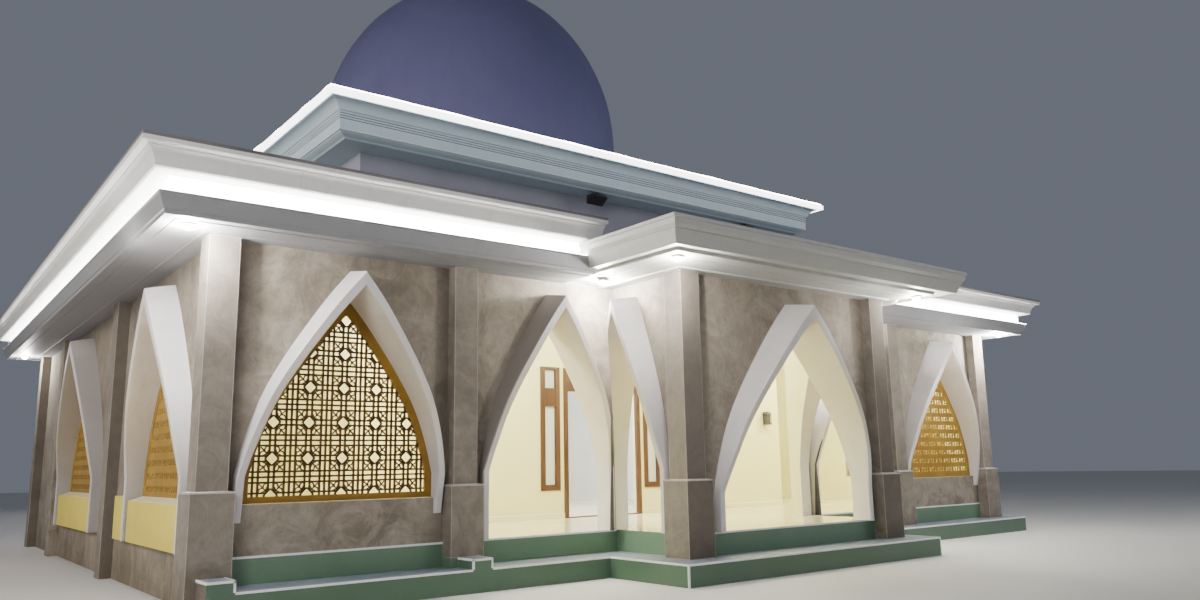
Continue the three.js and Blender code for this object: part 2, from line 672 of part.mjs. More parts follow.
const innerCurve = domeCurve(DOME_RADIUS - DOME_SHELL).reverse();
add('dome', lathe([...innerCurve, ...domeCurve(DOME_RADIUS)]), 'dome');
const domeTop = DOME_CENTRE + DOME_RADIUS * DOME_STRETCH + GAP;
add('finial', lathe(FINIAL.map(([r, z]) => [r, domeTop + z])), 'dome');

export default group;
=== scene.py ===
# Looks for the mosque: finer arch frames, eaves, lattices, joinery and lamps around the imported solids.
# Metres. Pieces are drawn in plan coordinates, X from the outer face of the left corner pier and
# Y from the front faces of the corner piers, and are shifted to the frame's origin when they are made.
import json
from collections import namedtuple
from functools import partialmethod
from math import asin, copysign, cos, pi, radians, sin

import bmesh
import bpy
from mathutils import Matrix, Vector


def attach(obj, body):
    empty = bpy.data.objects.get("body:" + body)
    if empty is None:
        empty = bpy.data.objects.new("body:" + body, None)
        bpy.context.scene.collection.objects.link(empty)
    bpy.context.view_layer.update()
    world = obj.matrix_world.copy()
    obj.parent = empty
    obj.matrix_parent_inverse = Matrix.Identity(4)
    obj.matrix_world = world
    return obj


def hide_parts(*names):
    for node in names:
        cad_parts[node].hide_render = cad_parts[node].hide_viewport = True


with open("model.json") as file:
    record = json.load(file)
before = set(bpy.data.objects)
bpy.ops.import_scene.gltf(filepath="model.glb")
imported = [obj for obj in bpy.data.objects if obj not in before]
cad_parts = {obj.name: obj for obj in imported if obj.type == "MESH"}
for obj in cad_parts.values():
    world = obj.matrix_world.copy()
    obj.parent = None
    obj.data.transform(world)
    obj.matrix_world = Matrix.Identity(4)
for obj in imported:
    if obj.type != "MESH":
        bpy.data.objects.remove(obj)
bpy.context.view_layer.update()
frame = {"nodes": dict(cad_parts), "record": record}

# Plan and levels, as in the part's source
WIDTH = 16.1
DEPTH = 13.5
PORCH_LEFT = 5.716
PORCH_RIGHT = 10.297
PORCH_DEPTH = 1.54
PIER = 0.34
RECESS = 0.17
WALL = PIER - RECESS
FRONT_PIERS = [3.107, WIDTH - 3.107 - PIER]
SIDE_PIER_Y = 4.93
HALL_HALF = 4.96
HALL_FRONT = 3.21
HALL_WALL = 0.15
TIER_BACK = DEPTH - RECESS
MIDDLE = WIDTH / 2
HALL_LEFT = MIDDLE - HALL_HALF
HALL_RIGHT = MIDDLE + HALL_HALF
ORIGIN = Vector((-MIDDLE, (PORCH_DEPTH - DEPTH) / 2, 0))
GAP = 0.0003

STEP_TOP = 0.28
BLOCK_TOP = 0.4
FLOOR_TOP = 0.58
SOFFIT = 4.13
ROOF_UNDERSIDE = 4.64
ROOF_TOP = 4.79
PORCH_ROOF_UNDERSIDE = 4.4
PORCH_ROOF_TOP = 4.54
STEP_OUT = 0.45
STEP_LEFT_END = 0.045
STEP_RIGHT_OVERHANG = 0.28
STEP_RETURN = 0.42
BLOCK_INSET = 0.03
PLINTH_FACE = 0.15

# Arches: widths and heights of the bays, as in the part's source
SPRING = 1.45
PORCH_SPRING = 1.1
APEX = 3.93
PORCH_APEX = 3.87
FRAME_THICK = 0.09
FRAME_APEX_THICK = 0.175
FRAME_APEX_LOWERING = 0.085
OPENING_APEX_DROP = 0.33
FRAME_FOOT_OUT = 0.135
FRAME_APEX_OUT = 0.5
SIDE_FRAME_FOOT_OUT = 0.16
SIDE_FRAME_APEX_OUT = 0.376
PORCH_FRAME_APEX_OUT = 0.57
FRONT_FOOT = 0.945
SIDE_FOOT = 0.61
SILL = 1.14
SILL_OUT = 0.12
SILL_FAR_END_Y = 4.4
SILL_SIDE_GAP = 0.05
ARCH_SHAPE = [
    (0, 1, 0), (0.1, 0.958, 0.16), (0.2, 0.905, 0.32), (0.3, 0.842, 0.44), (0.4, 0.763, 0.56),
    (0.5, 0.662, 0.66), (0.6, 0.548, 0.75), (0.7, 0.424, 0.83), (0.8, 0.295, 0.9), (0.9, 0.155, 0.96),
    (1, 0, 1),
]
ARCH_SUBSTEPS = 4
ARCH_CHAMFER = 0.012
FOOT_TAPER = 0.3
LINING = 0.004


# Nodes of materials

class Nodes:
    """A new material, with short ways to add nodes to it."""

    def __init__(self, name, roughness=0.8, metallic=0.0):
        self.material = bpy.data.materials.new(name)
        self.material.use_nodes = True
        self.tree = self.material.node_tree
        self.shader = self.tree.nodes["Principled BSDF"]
        self.shader.inputs["Roughness"].default_value = roughness
        self.shader.inputs["Metallic"].default_value = metallic

    def plug(self, source, socket):
        """Links a socket, or sets a constant: a number, a colour or a vector."""
        if isinstance(source, bpy.types.NodeSocket):
            self.tree.links.new(source, socket)
        elif isinstance(source, (int, float)):
            socket.default_value = source
        else:
            socket.default_value = (*source, 1)[:len(socket.default_value)]

    def add(self, kind, sockets):
        node = self.tree.nodes.new(kind)
        for key, source in sockets.items():
            self.plug(source, node.inputs[key])
        return node

    def coordinates(self, stretch=(1, 1, 1)):
        point = self.tree.nodes.new("ShaderNodeTexCoord").outputs["Object"]
        return self.add("ShaderNodeMapping", {"Vector": point, "Scale": stretch}).outputs["Vector"]

    def split(self, vector):
        return tuple(self.add("ShaderNodeSeparateXYZ", {"Vector": vector}).outputs)

    def position(self):
        """The X, Y and Z of the shaded point in the frame."""
        return self.split(self.tree.nodes.new("ShaderNodeTexCoord").outputs["Object"])

    def facing(self):
        """The X, Y and Z of the face's direction."""
        return self.split(self.tree.nodes.new("ShaderNodeNewGeometry").outputs["True Normal"])

    def noise(self, scale, detail=4.0, roughness=0.55, stretch=(1, 1, 1), distortion=0.0):
        return self.add("ShaderNodeTexNoise", {
            "Scale": scale, "Detail": detail, "Roughness": roughness, "Distortion": distortion,
            "Vector": self.coordinates(stretch)}).outputs["Fac"]

    def tiles(self, size, gap, colours):
        """Square tiles: their colour, and 1 in the gaps between them."""
        node = self.add("ShaderNodeTexBrick", {
            "Scale": 1.0, "Brick Width": size, "Row Height": size, "Mortar Size": gap, "Mortar Smooth": 0.1,
            "Color1": colours[0], "Color2": colours[1], "Mortar": colours[2], "Vector": self.coordinates()})
        node.offset = 0.0
        return node.outputs["Color"], node.outputs["Fac"]

    def ramp(self, value, low, high):
        """Stretches the range from low to high over 0 to 1."""
        node = self.add("ShaderNodeMapRange", {"Value": value, "From Min": low, "From Max": high})
        return node.outputs["Result"]

    def cloud(self, low, high, *noise, **more):
        """Noise that is 0 below the value low and 1 above high."""
        return self.ramp(self.noise(*noise, **more), low, high)

    def mix(self, factor, first, second, blend="MIX"):
        node = self.tree.nodes.new("ShaderNodeMix")
        node.data_type = "RGBA"
        node.blend_type = blend
        for index, source in ((0, factor), (6, first), (7, second)):
            self.plug(source, node.inputs[index])
        return node.outputs[2]

    def lay(self, colour, *layers):
        """Lays tones over the colour, each by a share where its mask is 1."""
        for mask, share, tone in layers:
            colour = self.mix(self.times(mask, share), colour, tone)
        return colour

    def tint(self, colour, mask, tone):
        """Multiplies the colour by a tone where the mask is 1."""
        return self.mix(mask, colour, self.mix(1.0, colour, tone, "MULTIPLY"))

    def maths(self, operation, first, second=0.0):
        node = self.add("ShaderNodeMath", {0: first, 1: second})
        node.operation = operation
        return node.outputs[0]

    plus = partialmethod(maths, "ADD")
    minus = partialmethod(maths, "SUBTRACT")
    least = partialmethod(maths, "MINIMUM")
    most = partialmethod(maths, "MAXIMUM")
    above = partialmethod(maths, "GREATER_THAN")
    below = partialmethod(maths, "LESS_THAN")

    def times(self, value, *others):
        for other in others:
            value = self.maths("MULTIPLY", value, other)
        return value

    def between(self, value, low, high):
        return self.times(self.above(value, low), self.below(value, high))

    def distance(self, value, place):
        return self.maths("ABSOLUTE", self.minus(value, place))

    def marks(self, share):
        """Soft clouds and runs of dirt on paint."""
        clouds = self.cloud(0.4, 0.75, 0.9, 4, 0.55, distortion=0.4)
        runs = self.cloud(0.55, 0.8, 4.5, 4, 0.6, (1, 1, 0.15))
        return self.times(self.most(clouds, runs), share)

    def finish(self, colour, height=None, strength=0.0, depth=0.0, roughness=None):
        """Plugs in the colour, the relief and the roughness, and gives the material."""
        self.plug(colour, self.shader.inputs["Base Color"])
        if roughness is not None:
            self.plug(roughness, self.shader.inputs["Roughness"])
        if height is not None:
            relief = self.add("ShaderNodeBump", {"Strength": strength, "Distance": depth, "Height": height})
            self.plug(relief.outputs["Normal"], self.shader.inputs["Normal"])
        return self.material

    def brush(self, colour, roughness, grain):
        """Plugs in a colour with the fine relief of brushed paint."""
        brushed = self.noise(55, 3, 0.6)
        return self.finish(colour, brushed, grain, 0.004, self.plus(self.times(brushed, 0.15), roughness))


# Places on the building that get their own tone: painted shade, worn edges and the cream inside

EDGE_WEAR = 0.014
SKIN = 0.004
PIER_SHADE_START, PIER_SHADE_END = 0.03, 0.26
# Size of the painted shadow in the corner slots
SLOT_TOP = 2.3
SLOT_WIDTH = 0.105


def worn_edges(m):
    """1 along the outer and inner edges of a solid, else 0."""
    soft = m.add("ShaderNodeBevel", {"Radius": EDGE_WEAR})
    soft.samples = 4
    sharp = m.tree.nodes.new("ShaderNodeNewGeometry")
    turn = m.add("ShaderNodeVectorMath", {0: soft.outputs["Normal"], 1: sharp.outputs["Normal"]})
    turn.operation = "DOT_PRODUCT"
    return m.ramp(turn.outputs["Value"], 0.995, 0.9)


def inside(m):
    """1 on the inner faces of the outer walls and piers, else 0."""
    x, y, _ = m.position()
    edge = PIER - SKIN
    x0, y0 = ORIGIN.x + edge, ORIGIN.y + edge
    hall = m.times(m.between(x, x0, -x0), m.above(y, y0))
    porch = m.times(m.between(x, x0 + PORCH_LEFT, ORIGIN.x + PORCH_RIGHT - edge), m.above(y, y0 - PORCH_DEPTH))
    return m.times(m.most(hall, porch), m.below(y, ORIGIN.y + DEPTH - edge))


def painted_shade_beside_piers(m):
    """Painted shade cast by the piers: 1 on the front walls where they meet a pier, falling to 0 a quarter of a
    metre away.
    """
    across = m.position()[0]
    nearest = 1.0
    for x in (PIER, FRONT_PIERS[0], PORCH_LEFT + PIER, PORCH_RIGHT - PIER, FRONT_PIERS[1], WIDTH - PIER):
        nearest = m.least(m.distance(across, ORIGIN.x + x), nearest)
    return m.ramp(nearest, PIER_SHADE_END, PIER_SHADE_START)


def shaded_pier_faces(m):
    """Painted shade: 1 on the faces that look forward of the porch's piers and the side piers, else 0."""
    along = m.position()[1]
    shade_places = m.most(m.below(along, ORIGIN.y - PORCH_DEPTH + 0.02), m.above(along, ORIGIN.y + PIER))
    return m.times(m.below(m.facing()[1], -0.7), shade_places)


def painted_shade_side_arches(m):
    """Painted shade: 1 on the forward faces of the side arches, low down and on the whole rear arch."""
    _, y, z = m.position()
    shaded_part = m.most(m.ramp(z, 2.6, 0.9), m.ramp(y, ORIGIN.y + 4, ORIGIN.y + 6))
    return m.times(m.ramp(m.facing()[1], -0.2, -0.6), m.above(y, ORIGIN.y + PIER), shaded_part)


def painted_shade_leaf(m):
    """Painted shade: 1 on the outer face of the arch frame left of the porch, else 0."""
    x, y, _ = m.position()
    start = FRONT_PIERS[0] + PIER
    left_half = m.between(x, ORIGIN.x + start - 0.1, ORIGIN.x + (start + PORCH_LEFT + RECESS) / 2)
    return m.times(m.ramp(m.facing()[0], -0.45, -0.75), left_half, m.below(y, ORIGIN.y + RECESS))


def corner_slot_shadows(m):
    """Painted shadow: 1 low down where the arches of the front and the porch's sides meet, a wedge that narrows
    upwards.
    """
    x, y, z = m.position()
    out = m.minus(y, ORIGIN.y)
    reach = m.ramp(z, SLOT_TOP, FLOOR_TOP)
    slots = 0.0
    for edge, side in ((PORCH_LEFT, 1.0), (PORCH_RIGHT, -1.0)):
        across = m.times(m.minus(x, ORIGIN.x + edge), side)
        near = m.below(m.distance(across, out), m.times(reach, SLOT_WIDTH))
        slots = m.most(m.times(near, m.between(across, -0.6, 0.02)), slots)
    return m.times(slots, m.above(reach, 0.01))


# Materials

CREAM = (0.80, 0.77, 0.43)
CREAM_DARK = (0.74, 0.69, 0.36)
WHITE = (0.82, 0.82, 0.80)
DAMP = (0.105, 0.084, 0.045)
ARRIS = (0.62, 0.60, 0.57)
JOINT_EVERY = 2.44
EAVES_RUNS = 1.1


def cement(name, tones, stain_and_shade, damp_height, arris, shaded):
    """Hand-floated cement render: clouded tones, float marks, runs under the eaves, damp near the ground,
    pale worn edges and grain, and painted shade where shaded says. The faces that look into the building are
    cream."""
    m = Nodes(name, 0.88)
    clouds = m.cloud(0.38, 0.64, 0.45, 5, 0.6, distortion=0.8)
    patches = m.cloud(0.40, 0.64, 1.9, 7, 0.68, distortion=1.4)
    floats = m.cloud(0.42, 0.66, 4.2, 7, 0.74, (1, 1, 0.6), 2.8)
    swirls = m.cloud(0.50, 0.70, 2.6, 5, 0.7, (1, 1, 0.8), 3.5)
    runs = m.cloud(0.48, 0.76, 3.2, 4, 0.6, (1, 1, 0.1))
    drips = m.cloud(0.40, 0.62, 1.5, 4, 0.65, (1, 1, 0.2))
    grain = m.noise(42, 3, 0.7)
    height = m.position()[2]
    under_eaves = m.ramp(height, SOFFIT - EAVES_RUNS, SOFFIT)
    damp = m.ramp(m.plus(height, m.times(patches, 0.35)), damp_height, 0.2)
    # The shaded mask lays painted shade in the same dark tone as the float marks and the runs of dirt
    colour = m.lay(m.mix(clouds, tones[0], tones[1]), (patches, 0.7, tones[2]), (floats, 0.3, stain_and_shade),
                   (swirls, 0.14, tones[2]), (shaded(m), m.plus(m.times(clouds, 0.25), 0.5), stain_and_shade),
                   (m.times(under_eaves, runs), 0.3, stain_and_shade), (damp, m.plus(m.times(drips, 0.5), 0.4), DAMP),
                   (grain, 0.22, tones[0]), (worn_edges(m), arris, ARRIS))
    colour = m.mix(inside(m), colour, m.mix(m.noise(1.1, 3), CREAM, CREAM_DARK))
    return m.finish(colour, m.plus(m.times(grain, 0.2), m.times(floats, 0.45)), 0.4, 0.014)


def arch_paint():
    """Off-white paint, cream on the inner faces, with painted shade on some faces and a painted shadow in the
    corners.
    """
    m = Nodes("arch_frame", 0.5)
    colour = m.mix(m.marks(0.5), (0.78, 0.755, 0.77), (0.54, 0.495, 0.475))
    inner = m.times(m.ramp(m.facing()[2], 0.0, -0.08), m.ramp(m.position()[2], SPRING - 0.05, SPRING + 0.75))
    # Painted shade on the side arches' forward faces and the leaf left of the porch, and painted shadow in the
    # corner slots
    colour = m.lay(m.tint(colour, inner, (1.0, 0.955, 0.80)), (painted_shade_side_arches(m), 0.6, (0.20, 0.175, 0.145)),
                   (painted_shade_leaf(m), 0.88, (0.19, 0.166, 0.142)), (corner_slot_shadows(m), 0.94, (0.028, 0.022, 0.020)))
    return m.brush(colour, 0.45, 0.12)


def paint(name, colour, dirt, roughness=0.5, dirt_share=0.35, grain=0.12):
    """Brushed paint on plaster: soft clouding, faint runs of dirt and a little texture."""
    m = Nodes(name, roughness)
    return m.brush(m.mix(m.marks(dirt_share), colour, dirt), roughness - 0.05, grain)


def cornice_paint(name, low, shade, top_edge):
    """White paint on plaster board: faint upright joints, soft shading and runs of dust. Below the level low it
    is multiplied by the tone shade, a painted shade on the main eaves' soffit and lower tier and a tint of the
    whole moulding on the tier's and the porch's eaves; above the level top_edge it is dark, a painted shade on
    the top of the main eaves' lip."""
    m = Nodes(name, 0.5)
    clouds = m.cloud(0.4, 0.75, 0.8, 4, 0.55, distortion=0.5)
    runs = m.cloud(0.52, 0.8, 5, 5, 0.65, (1, 1, 0.12))
    x, y, z = m.position()
    colour = m.mix(m.times(clouds, 0.35), (0.80, 0.795, 0.785), (0.66, 0.65, 0.64))
    colour = m.lay(colour, (runs, 0.22, (0.50, 0.48, 0.46)))
    # Painted shade on the main eaves' soffit and lower tier, below the level low
    colour = m.tint(colour, m.below(z, low), shade)
    # Painted shade on the top of the main eaves' lip, above the level top_edge
    colour = m.mix(m.above(z, top_edge), colour, m.mix(clouds, (0.19, 0.18, 0.18), (0.12, 0.115, 0.12)))
    along_x = m.below(m.maths("ABSOLUTE", m.facing()[0]), 0.5)
    run = m.plus(m.times(along_x, x), m.times(m.minus(1.0, along_x), y))
    joint = m.above(m.distance(m.maths("FRACT", m.maths("DIVIDE", run, JOINT_EVERY)), 0.5), 0.4988)
    colour = m.lay(colour, (joint, 0.45, (0.36, 0.35, 0.34)))
    brushed = m.noise(50, 3, 0.6)
    return m.finish(colour, m.minus(m.times(brushed, 0.2), joint), 0.25, 0.004,
                    m.plus(m.times(brushed, 0.15), 0.42))


def step_paint():
    """Green paint on upright faces; the treads are tiled grey and the floor cream."""
    m = Nodes("step_tile", 0.35)
    clouds = m.noise(1.3, 5, 0.6, distortion=0.5)
    scuffs = m.cloud(0.55, 0.8, 7, 6, 0.7, (1, 1, 2.5))
    tread, tread_gap = m.tiles(0.4, 0.004, [(0.205, 0.245, 0.31), (0.175, 0.215, 0.275), (0.32, 0.345, 0.38)])
    floor, floor_gap = m.tiles(0.5, 0.003, [(0.80, 0.76, 0.49), (0.76, 0.71, 0.44), (0.52, 0.48, 0.32)])
    x, y, z = m.position()
    facing = m.facing()
    on_floor = m.above(z, (BLOCK_TOP + FLOOR_TOP) / 2)
    top = m.above(facing[2], 0.5)
    block_end = m.times(m.below(facing[0], -0.7), m.below(x, ORIGIN.x + STEP_LEFT_END + 0.01))
    on_block = m.times(m.below(x, ORIGIN.x + FRONT_PIERS[0] + PIER), m.below(y, ORIGIN.y - 0.1))
    green = m.mix(clouds, (0.150, 0.245, 0.158), (0.100, 0.182, 0.115))
    green = m.lay(green, (scuffs, 0.3, (0.24, 0.29, 0.25)))
    green = m.tint(green, m.most(m.below(z, STEP_TOP + 0.003), on_block), (0.60, 0.66, 0.64))
    green = m.mix(block_end, green, m.mix(clouds, (0.15, 0.125, 0.10), (0.10, 0.085, 0.065)))
    colour = m.mix(top, green, m.mix(on_floor, tread, floor))
    polish = m.minus(0.32, m.times(m.times(top, on_floor), 0.2))
    gaps = m.mix(on_floor, tread_gap, floor_gap)
    return m.finish(colour, m.times(gaps, -1.0), 0.25, 0.003, m.plus(m.times(scuffs, 0.2), polish))


def hall_paint():
    """Cream paint outside the hall and white paint inside it, brushed and a little marked."""
    m = Nodes("interior", 0.55)
    marks = m.marks(0.45)
    x, y, _ = m.position()
    reach = HALL_HALF - HALL_WALL / 2
    within = m.times(m.between(x, -reach, reach), m.above(y, ORIGIN.y + HALL_FRONT + HALL_WALL - 0.012))
    colour = m.mix(within, m.mix(marks, CREAM, CREAM_DARK), m.mix(marks, WHITE, (0.72, 0.71, 0.68)))
    return m.finish(colour, m.noise(55, 3, 0.6), 0.12, 0.004)


def roof_concrete():
    """Bare concrete on top, a white ceiling of square panels below."""
    m = Nodes("roof", 0.9)
    clouds = m.cloud(0.35, 0.7, 0.8, 6, 0.65, distortion=0.8)
    panel, _ = m.tiles(1.2, 0.004, [(0.86, 0.85, 0.80), (0.84, 0.83, 0.78), (0.55, 0.54, 0.5)])
    colour = m.mix(m.below(m.facing()[2], -0.5), m.mix(clouds, (0.34, 0.34, 0.33), (0.22, 0.22, 0.21)), panel)
    return m.finish(colour, m.noise(24, 5, 0.7), 0.3, 0.01)


def dome_metal():
    """Blue-grey painted sheet with soft clouding and runs of dirt."""
    m = Nodes("dome", 0.62, 0.1)
    clouds = m.cloud(0.3, 0.75, 0.5, 4, 0.5, distortion=0.4)
    runs = m.cloud(0.5, 0.8, 4, 5, 0.6, (1, 1, 0.16))
    colour = m.lay(m.mix(clouds, (0.178, 0.176, 0.345), (0.148, 0.146, 0.30)), (runs, 0.2, (0.10, 0.10, 0.20)))
    return m.finish(colour, m.noise(3, 3, 0.5), 0.12, 0.02)


def wood(name, light, dark):
    """Varnished brown timber with upright grain."""
    m = Nodes(name, 0.38)
    grain = m.cloud(0.35, 0.7, 14, 6, 0.6, (1, 1, 0.08), 0.8)
    fine = m.noise(90, 3, 0.6, (1, 1, 0.05))
    return m.finish(m.lay(m.mix(grain, light, dark), (fine, 0.3, dark)), fine, 0.2, 0.002)


def glass(name, light, dark):
    m = Nodes(name, 0.08)
    return m.finish(m.mix(m.noise(1.5, 2), light, dark))


def lit(name, colour, strength):
    """A lamp's glowing face, a little uneven along its run."""
    m = Nodes(name, 0.5)
    uneven = m.mix(m.noise(2.0, 2), colour, tuple(0.93 * c for c in colour))
    m.plug(uneven, m.shader.inputs["Emission Color"])
    m.shader.inputs["Emission Strength"].default_value = strength
    return m.finish(uneven)


def latticed(name, light, dark, speck_and_shade, metallic=0.0, plane=None):
    """Satin paint on cut sheet, darker where it has thinned. With a plane, the axis that the sheet faces
    along as a number, the cut edges get painted shade."""
    m = Nodes(name, 0.42, metallic)
    specks = m.cloud(0.55, 0.75, 60, 3, 0.7)
    colour = m.lay(m.mix(m.cloud(0.35, 0.7, 2.5, 5, 0.65), light, dark), (specks, 0.3, speck_and_shade))
    if plane is not None:
        # Painted shade on the cut edges
        cut = m.below(m.maths("ABSOLUTE", m.facing()[plane]), 0.5)
        colour = m.lay(colour, (cut, 0.85, speck_and_shade))
    return m.finish(colour, m.noise(80, 3, 0.6), 0.15, 0.002)


OCHRE = ((0.43, 0.255, 0.030), (0.29, 0.165, 0.018))
LOOK = {
    # The wall render gets painted shade beside the piers, and the piers get painted shade on their forward faces
    "wall_render": cement("wall_render", [(0.315, 0.270, 0.212), (0.165, 0.137, 0.104), (0.46, 0.405, 0.335)],
                          (0.085, 0.068, 0.050), 0.9, 0.3, painted_shade_beside_piers),
    "pier": cement("pier", [(0.235, 0.203, 0.166), (0.150, 0.127, 0.102), (0.31, 0.272, 0.228)],
                   (0.090, 0.074, 0.058), 0.8, 0.85, shaded_pier_faces),
    "arch_frame": arch_paint(),
    "lattice": latticed("lattice", *OCHRE, (0.13, 0.07, 0.010)),
    # The main eaves: painted shade below 4.366 and on the lip above 4.832
    "cornice": cornice_paint("cornice", low=4.366, shade=(0.37, 0.375, 0.395), top_edge=4.832),
    "interior": hall_paint(),
    "step_tile": step_paint(),
    "roof": roof_concrete(),
    "tier": paint("tier", (0.43, 0.43, 0.51), (0.33, 0.33, 0.40), 0.75, 0.6, 0.3),
    "dome": dome_metal(),
}
TIER_CORNICE = cornice_paint("tier_cornice", low=7.6, shade=(0.67, 0.83, 0.92), top_edge=7.9)
PORCH_CORNICE = cornice_paint("porch_cornice", low=4.6, shade=(0.66, 0.67, 0.63), top_edge=4.9)
# Backlit copy of the gold lattice: the front rosette net painted dark brown, a painted shade
BACKLIT_LATTICE = latticed("backlit_shaded_lattice", (0.14, 0.065, 0.022), (0.085, 0.038, 0.014), (0.04, 0.02, 0.01), 0.15)
# The side lattices' nets, with painted shade on the cut edges across the sheet
SIDE_FRET = latticed("side_fret_sheet", *OCHRE, (0.085, 0.046, 0.010), plane=0)
# Shaded copy of the gold lattice: the rosette lattice's border painted darker, a painted shade
SHADED_GILT = latticed("shaded_gilt", (0.31, 0.17, 0.015), (0.21, 0.11, 0.010), (0.10, 0.05, 0.008))
WOOD = wood("brown_wood", (0.080, 0.029, 0.010), (0.044, 0.015, 0.005))
GLASS = glass("pane_glass", (0.70, 0.74, 0.76), (0.62, 0.67, 0.70))
LED = lit("led_strip", (1.0, 1.0, 0.97), 19.0)
ROPE = lit("rope_light", (1.0, 0.97, 0.90), 22.0)
LIP_LIGHT = lit("lip_light", (1.0, 0.97, 0.96), 6.0)
RIBBON = lit("led_ribbon", (1.0, 0.99, 0.95), 60.0)
LAMP = lit("lamp_face", (1.0, 0.97, 0.9), 30.0)
NOSING = paint("white_nosing", (0.93, 0.93, 0.92), (0.66, 0.66, 0.63), 0.5, 0.3)
SILL_YELLOW = paint("yellow_sill", (0.80, 0.67, 0.11), (0.64, 0.49, 0.08), 0.6, 0.5)
SILL_EDGE = paint("pale_sill", (0.80, 0.76, 0.50), (0.66, 0.60, 0.38), 0.55, 0.4)
FITTING = paint("lamp_fitting", (0.62, 0.60, 0.57), (0.40, 0.38, 0.36), 0.4, 0.4)
BLACK = paint("black_plastic", (0.03, 0.03, 0.035), (0.08, 0.08, 0.08), 0.45, 0.4)
SMOKED = paint("smoked_glass", (0.05, 0.055, 0.06), (0.09, 0.09, 0.085), 0.2, 0.5)
# Painted shade laid in the tier's grooves
SHADOW = paint("groove_painted_shade", (0.09, 0.095, 0.11), (0.05, 0.05, 0.06), 0.8, 0.5)
MORTAR = paint("pale_mortar", (0.50, 0.475, 0.45), (0.30, 0.275, 0.25), 0.8, 0.6, 0.3)


# Shapes

def circle(x, y, z, radius, sides, radius_y=None):
    """A level ring of points, an oval if it has a second radius."""
    angles = [2 * pi * s / sides for s in range(sides)]
    return [(x + radius * cos(a), y + (radius_y or radius) * sin(a), z) for a in angles]


def upright_rectangle(x0, x1, z0, z1, y):
    return [(x0, y, z0), (x1, y, z0), (x1, y, z1), (x0, y, z1)]


def slab(x, half, front, back):
    """Four points round x: the front pair and the back pair each have a Y and a Z."""
    return [(x - half, *front), (x + half, *front), (x + half, *back), (x - half, *back)]


class Shape:
    """Points and faces that grow into one piece."""

    def __init__(self):
        self.points = []
        self.faces = []

    def loft(self, rings, closed=False):
        """Joins rings of points; an open run gets a cap at each end."""
        count = len(rings[0])
        spans = len(rings) if closed else len(rings) - 1
        faces = []
        for i in range(spans):
            near = i * count
            far = (i + 1) % len(rings) * count
            for j in range(count):
                k = (j + 1) % count
                faces.append([near + j, far + j, far + k, near + k])
        if not closed:
            last = spans * count
            faces.append(list(range(count)))
            faces.append([last + j for j in reversed(range(count))])
        start = len(self.points)
        self.points += [p for ring in rings for p in ring]
        self.faces += [[start + i for i in face] for face in faces]
        return self

    def arch(self, rings):
        """Joins the rings of half an arch with their mirror image."""
        return self.loft([*rings, *([(-x, y, z) for x, y, z in ring] for ring in reversed(rings[:-1]))])

    def block(self, x0, x1, y0, y1, z0, z1):
        return self.loft([[(x, y0, z0), (x, y1, z0), (x, y1, z1), (x, y0, z1)] for x in (x0, x1)])

    def tube(self, path, radius, sides):
        """A round tube along a closed path that stays nearly level."""
        rings = []
        for i, p in enumerate(path):
            along = (Vector(path[(i + 1) % len(path)]) - Vector(path[i - 1])).normalized()
            across = along.cross(Vector((0, 0, 1))).normalized()
            up = across.cross(along)
            rings.append([tuple(Vector(p) + radius * (cos(a) * across + sin(a) * up))
                          for a in (2 * pi * s / sides for s in range(sides))])
        return self.loft(rings, True)


TURN = {"front": 0, "left": -90, "back": 180, "right": 90}


def place(name, data):
    """Puts a new object into the scene."""
    thing = bpy.data.objects.new(name, data)
    bpy.context.scene.collection.objects.link(thing)
    return thing


def ease(piece, width):
    """Rounds a piece's edges off."""
    eased = piece.modifiers.new("eased", "BEVEL")
    eased.width = width
    eased.segments = 2
    return eased


def make(name, shape, material, replaces=(), side="front", at=(0, 0), smooth=None, cuts=()):
    """Makes a piece from a shape drawn for the front, turned to its side and set at its place in plan.
    Edges that turn by less than smooth degrees are shaded round, and cuts are planes that trim it."""
    mesh = bpy.data.meshes.new(name)
    mesh.from_pydata(shape.points, [], shape.faces)
    work = bmesh.new()
    work.from_mesh(mesh)
    bmesh.ops.remove_doubles(work, verts=work.verts, dist=1e-6)
    for point, normal in cuts:
        cut = bmesh.ops.bisect_plane(work, geom=[*work.verts, *work.edges, *work.faces],
                                     plane_co=point, plane_no=normal, clear_outer=True)
        edges = [e for e in cut["geom_cut"] if isinstance(e, bmesh.types.BMEdge)]
        bmesh.ops.holes_fill(work, edges=edges)
    bmesh.ops.recalc_face_normals(work, faces=work.faces)
    work.to_mesh(mesh)
    work.free()
    turn = Matrix.Rotation(radians(TURN[side]), 4, "Z")
    mesh.transform(Matrix.Translation(ORIGIN + Vector((*at, 0))) @ turn)
    if smooth is not None:
        mesh.polygons.foreach_set("use_smooth", [True] * len(mesh.polygons))
        mesh.set_sharp_from_angle(angle=radians(smooth))
    mesh.materials.append(material)
    piece = place(name, mesh)
    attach(piece, "root")
    if replaces:
        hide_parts(*replaces)
    return piece


# Arches

def smooth_shape():
    """The arch's shape with points between its rows, on a smooth curve through them."""
    rows = [Vector(row) for row in ARCH_SHAPE]
    padded = [2 * rows[0] - rows[1], *rows, 2 * rows[-1] - rows[-2]]
    points = []
    for i in range(1, len(padded) - 2):
        a, b, c, d = padded[i - 1:i + 3]
        for step in range(ARCH_SUBSTEPS):
            t = step / ARCH_SUBSTEPS
            points.append(0.5 * (2 * b + t * (c - a) + t * t * (2 * a - 5 * b + 4 * c - d)
                                 + t ** 3 * (3 * b - a - 3 * c + d)))
    return [*points, rows[-1]]


SHAPE = smooth_shape()


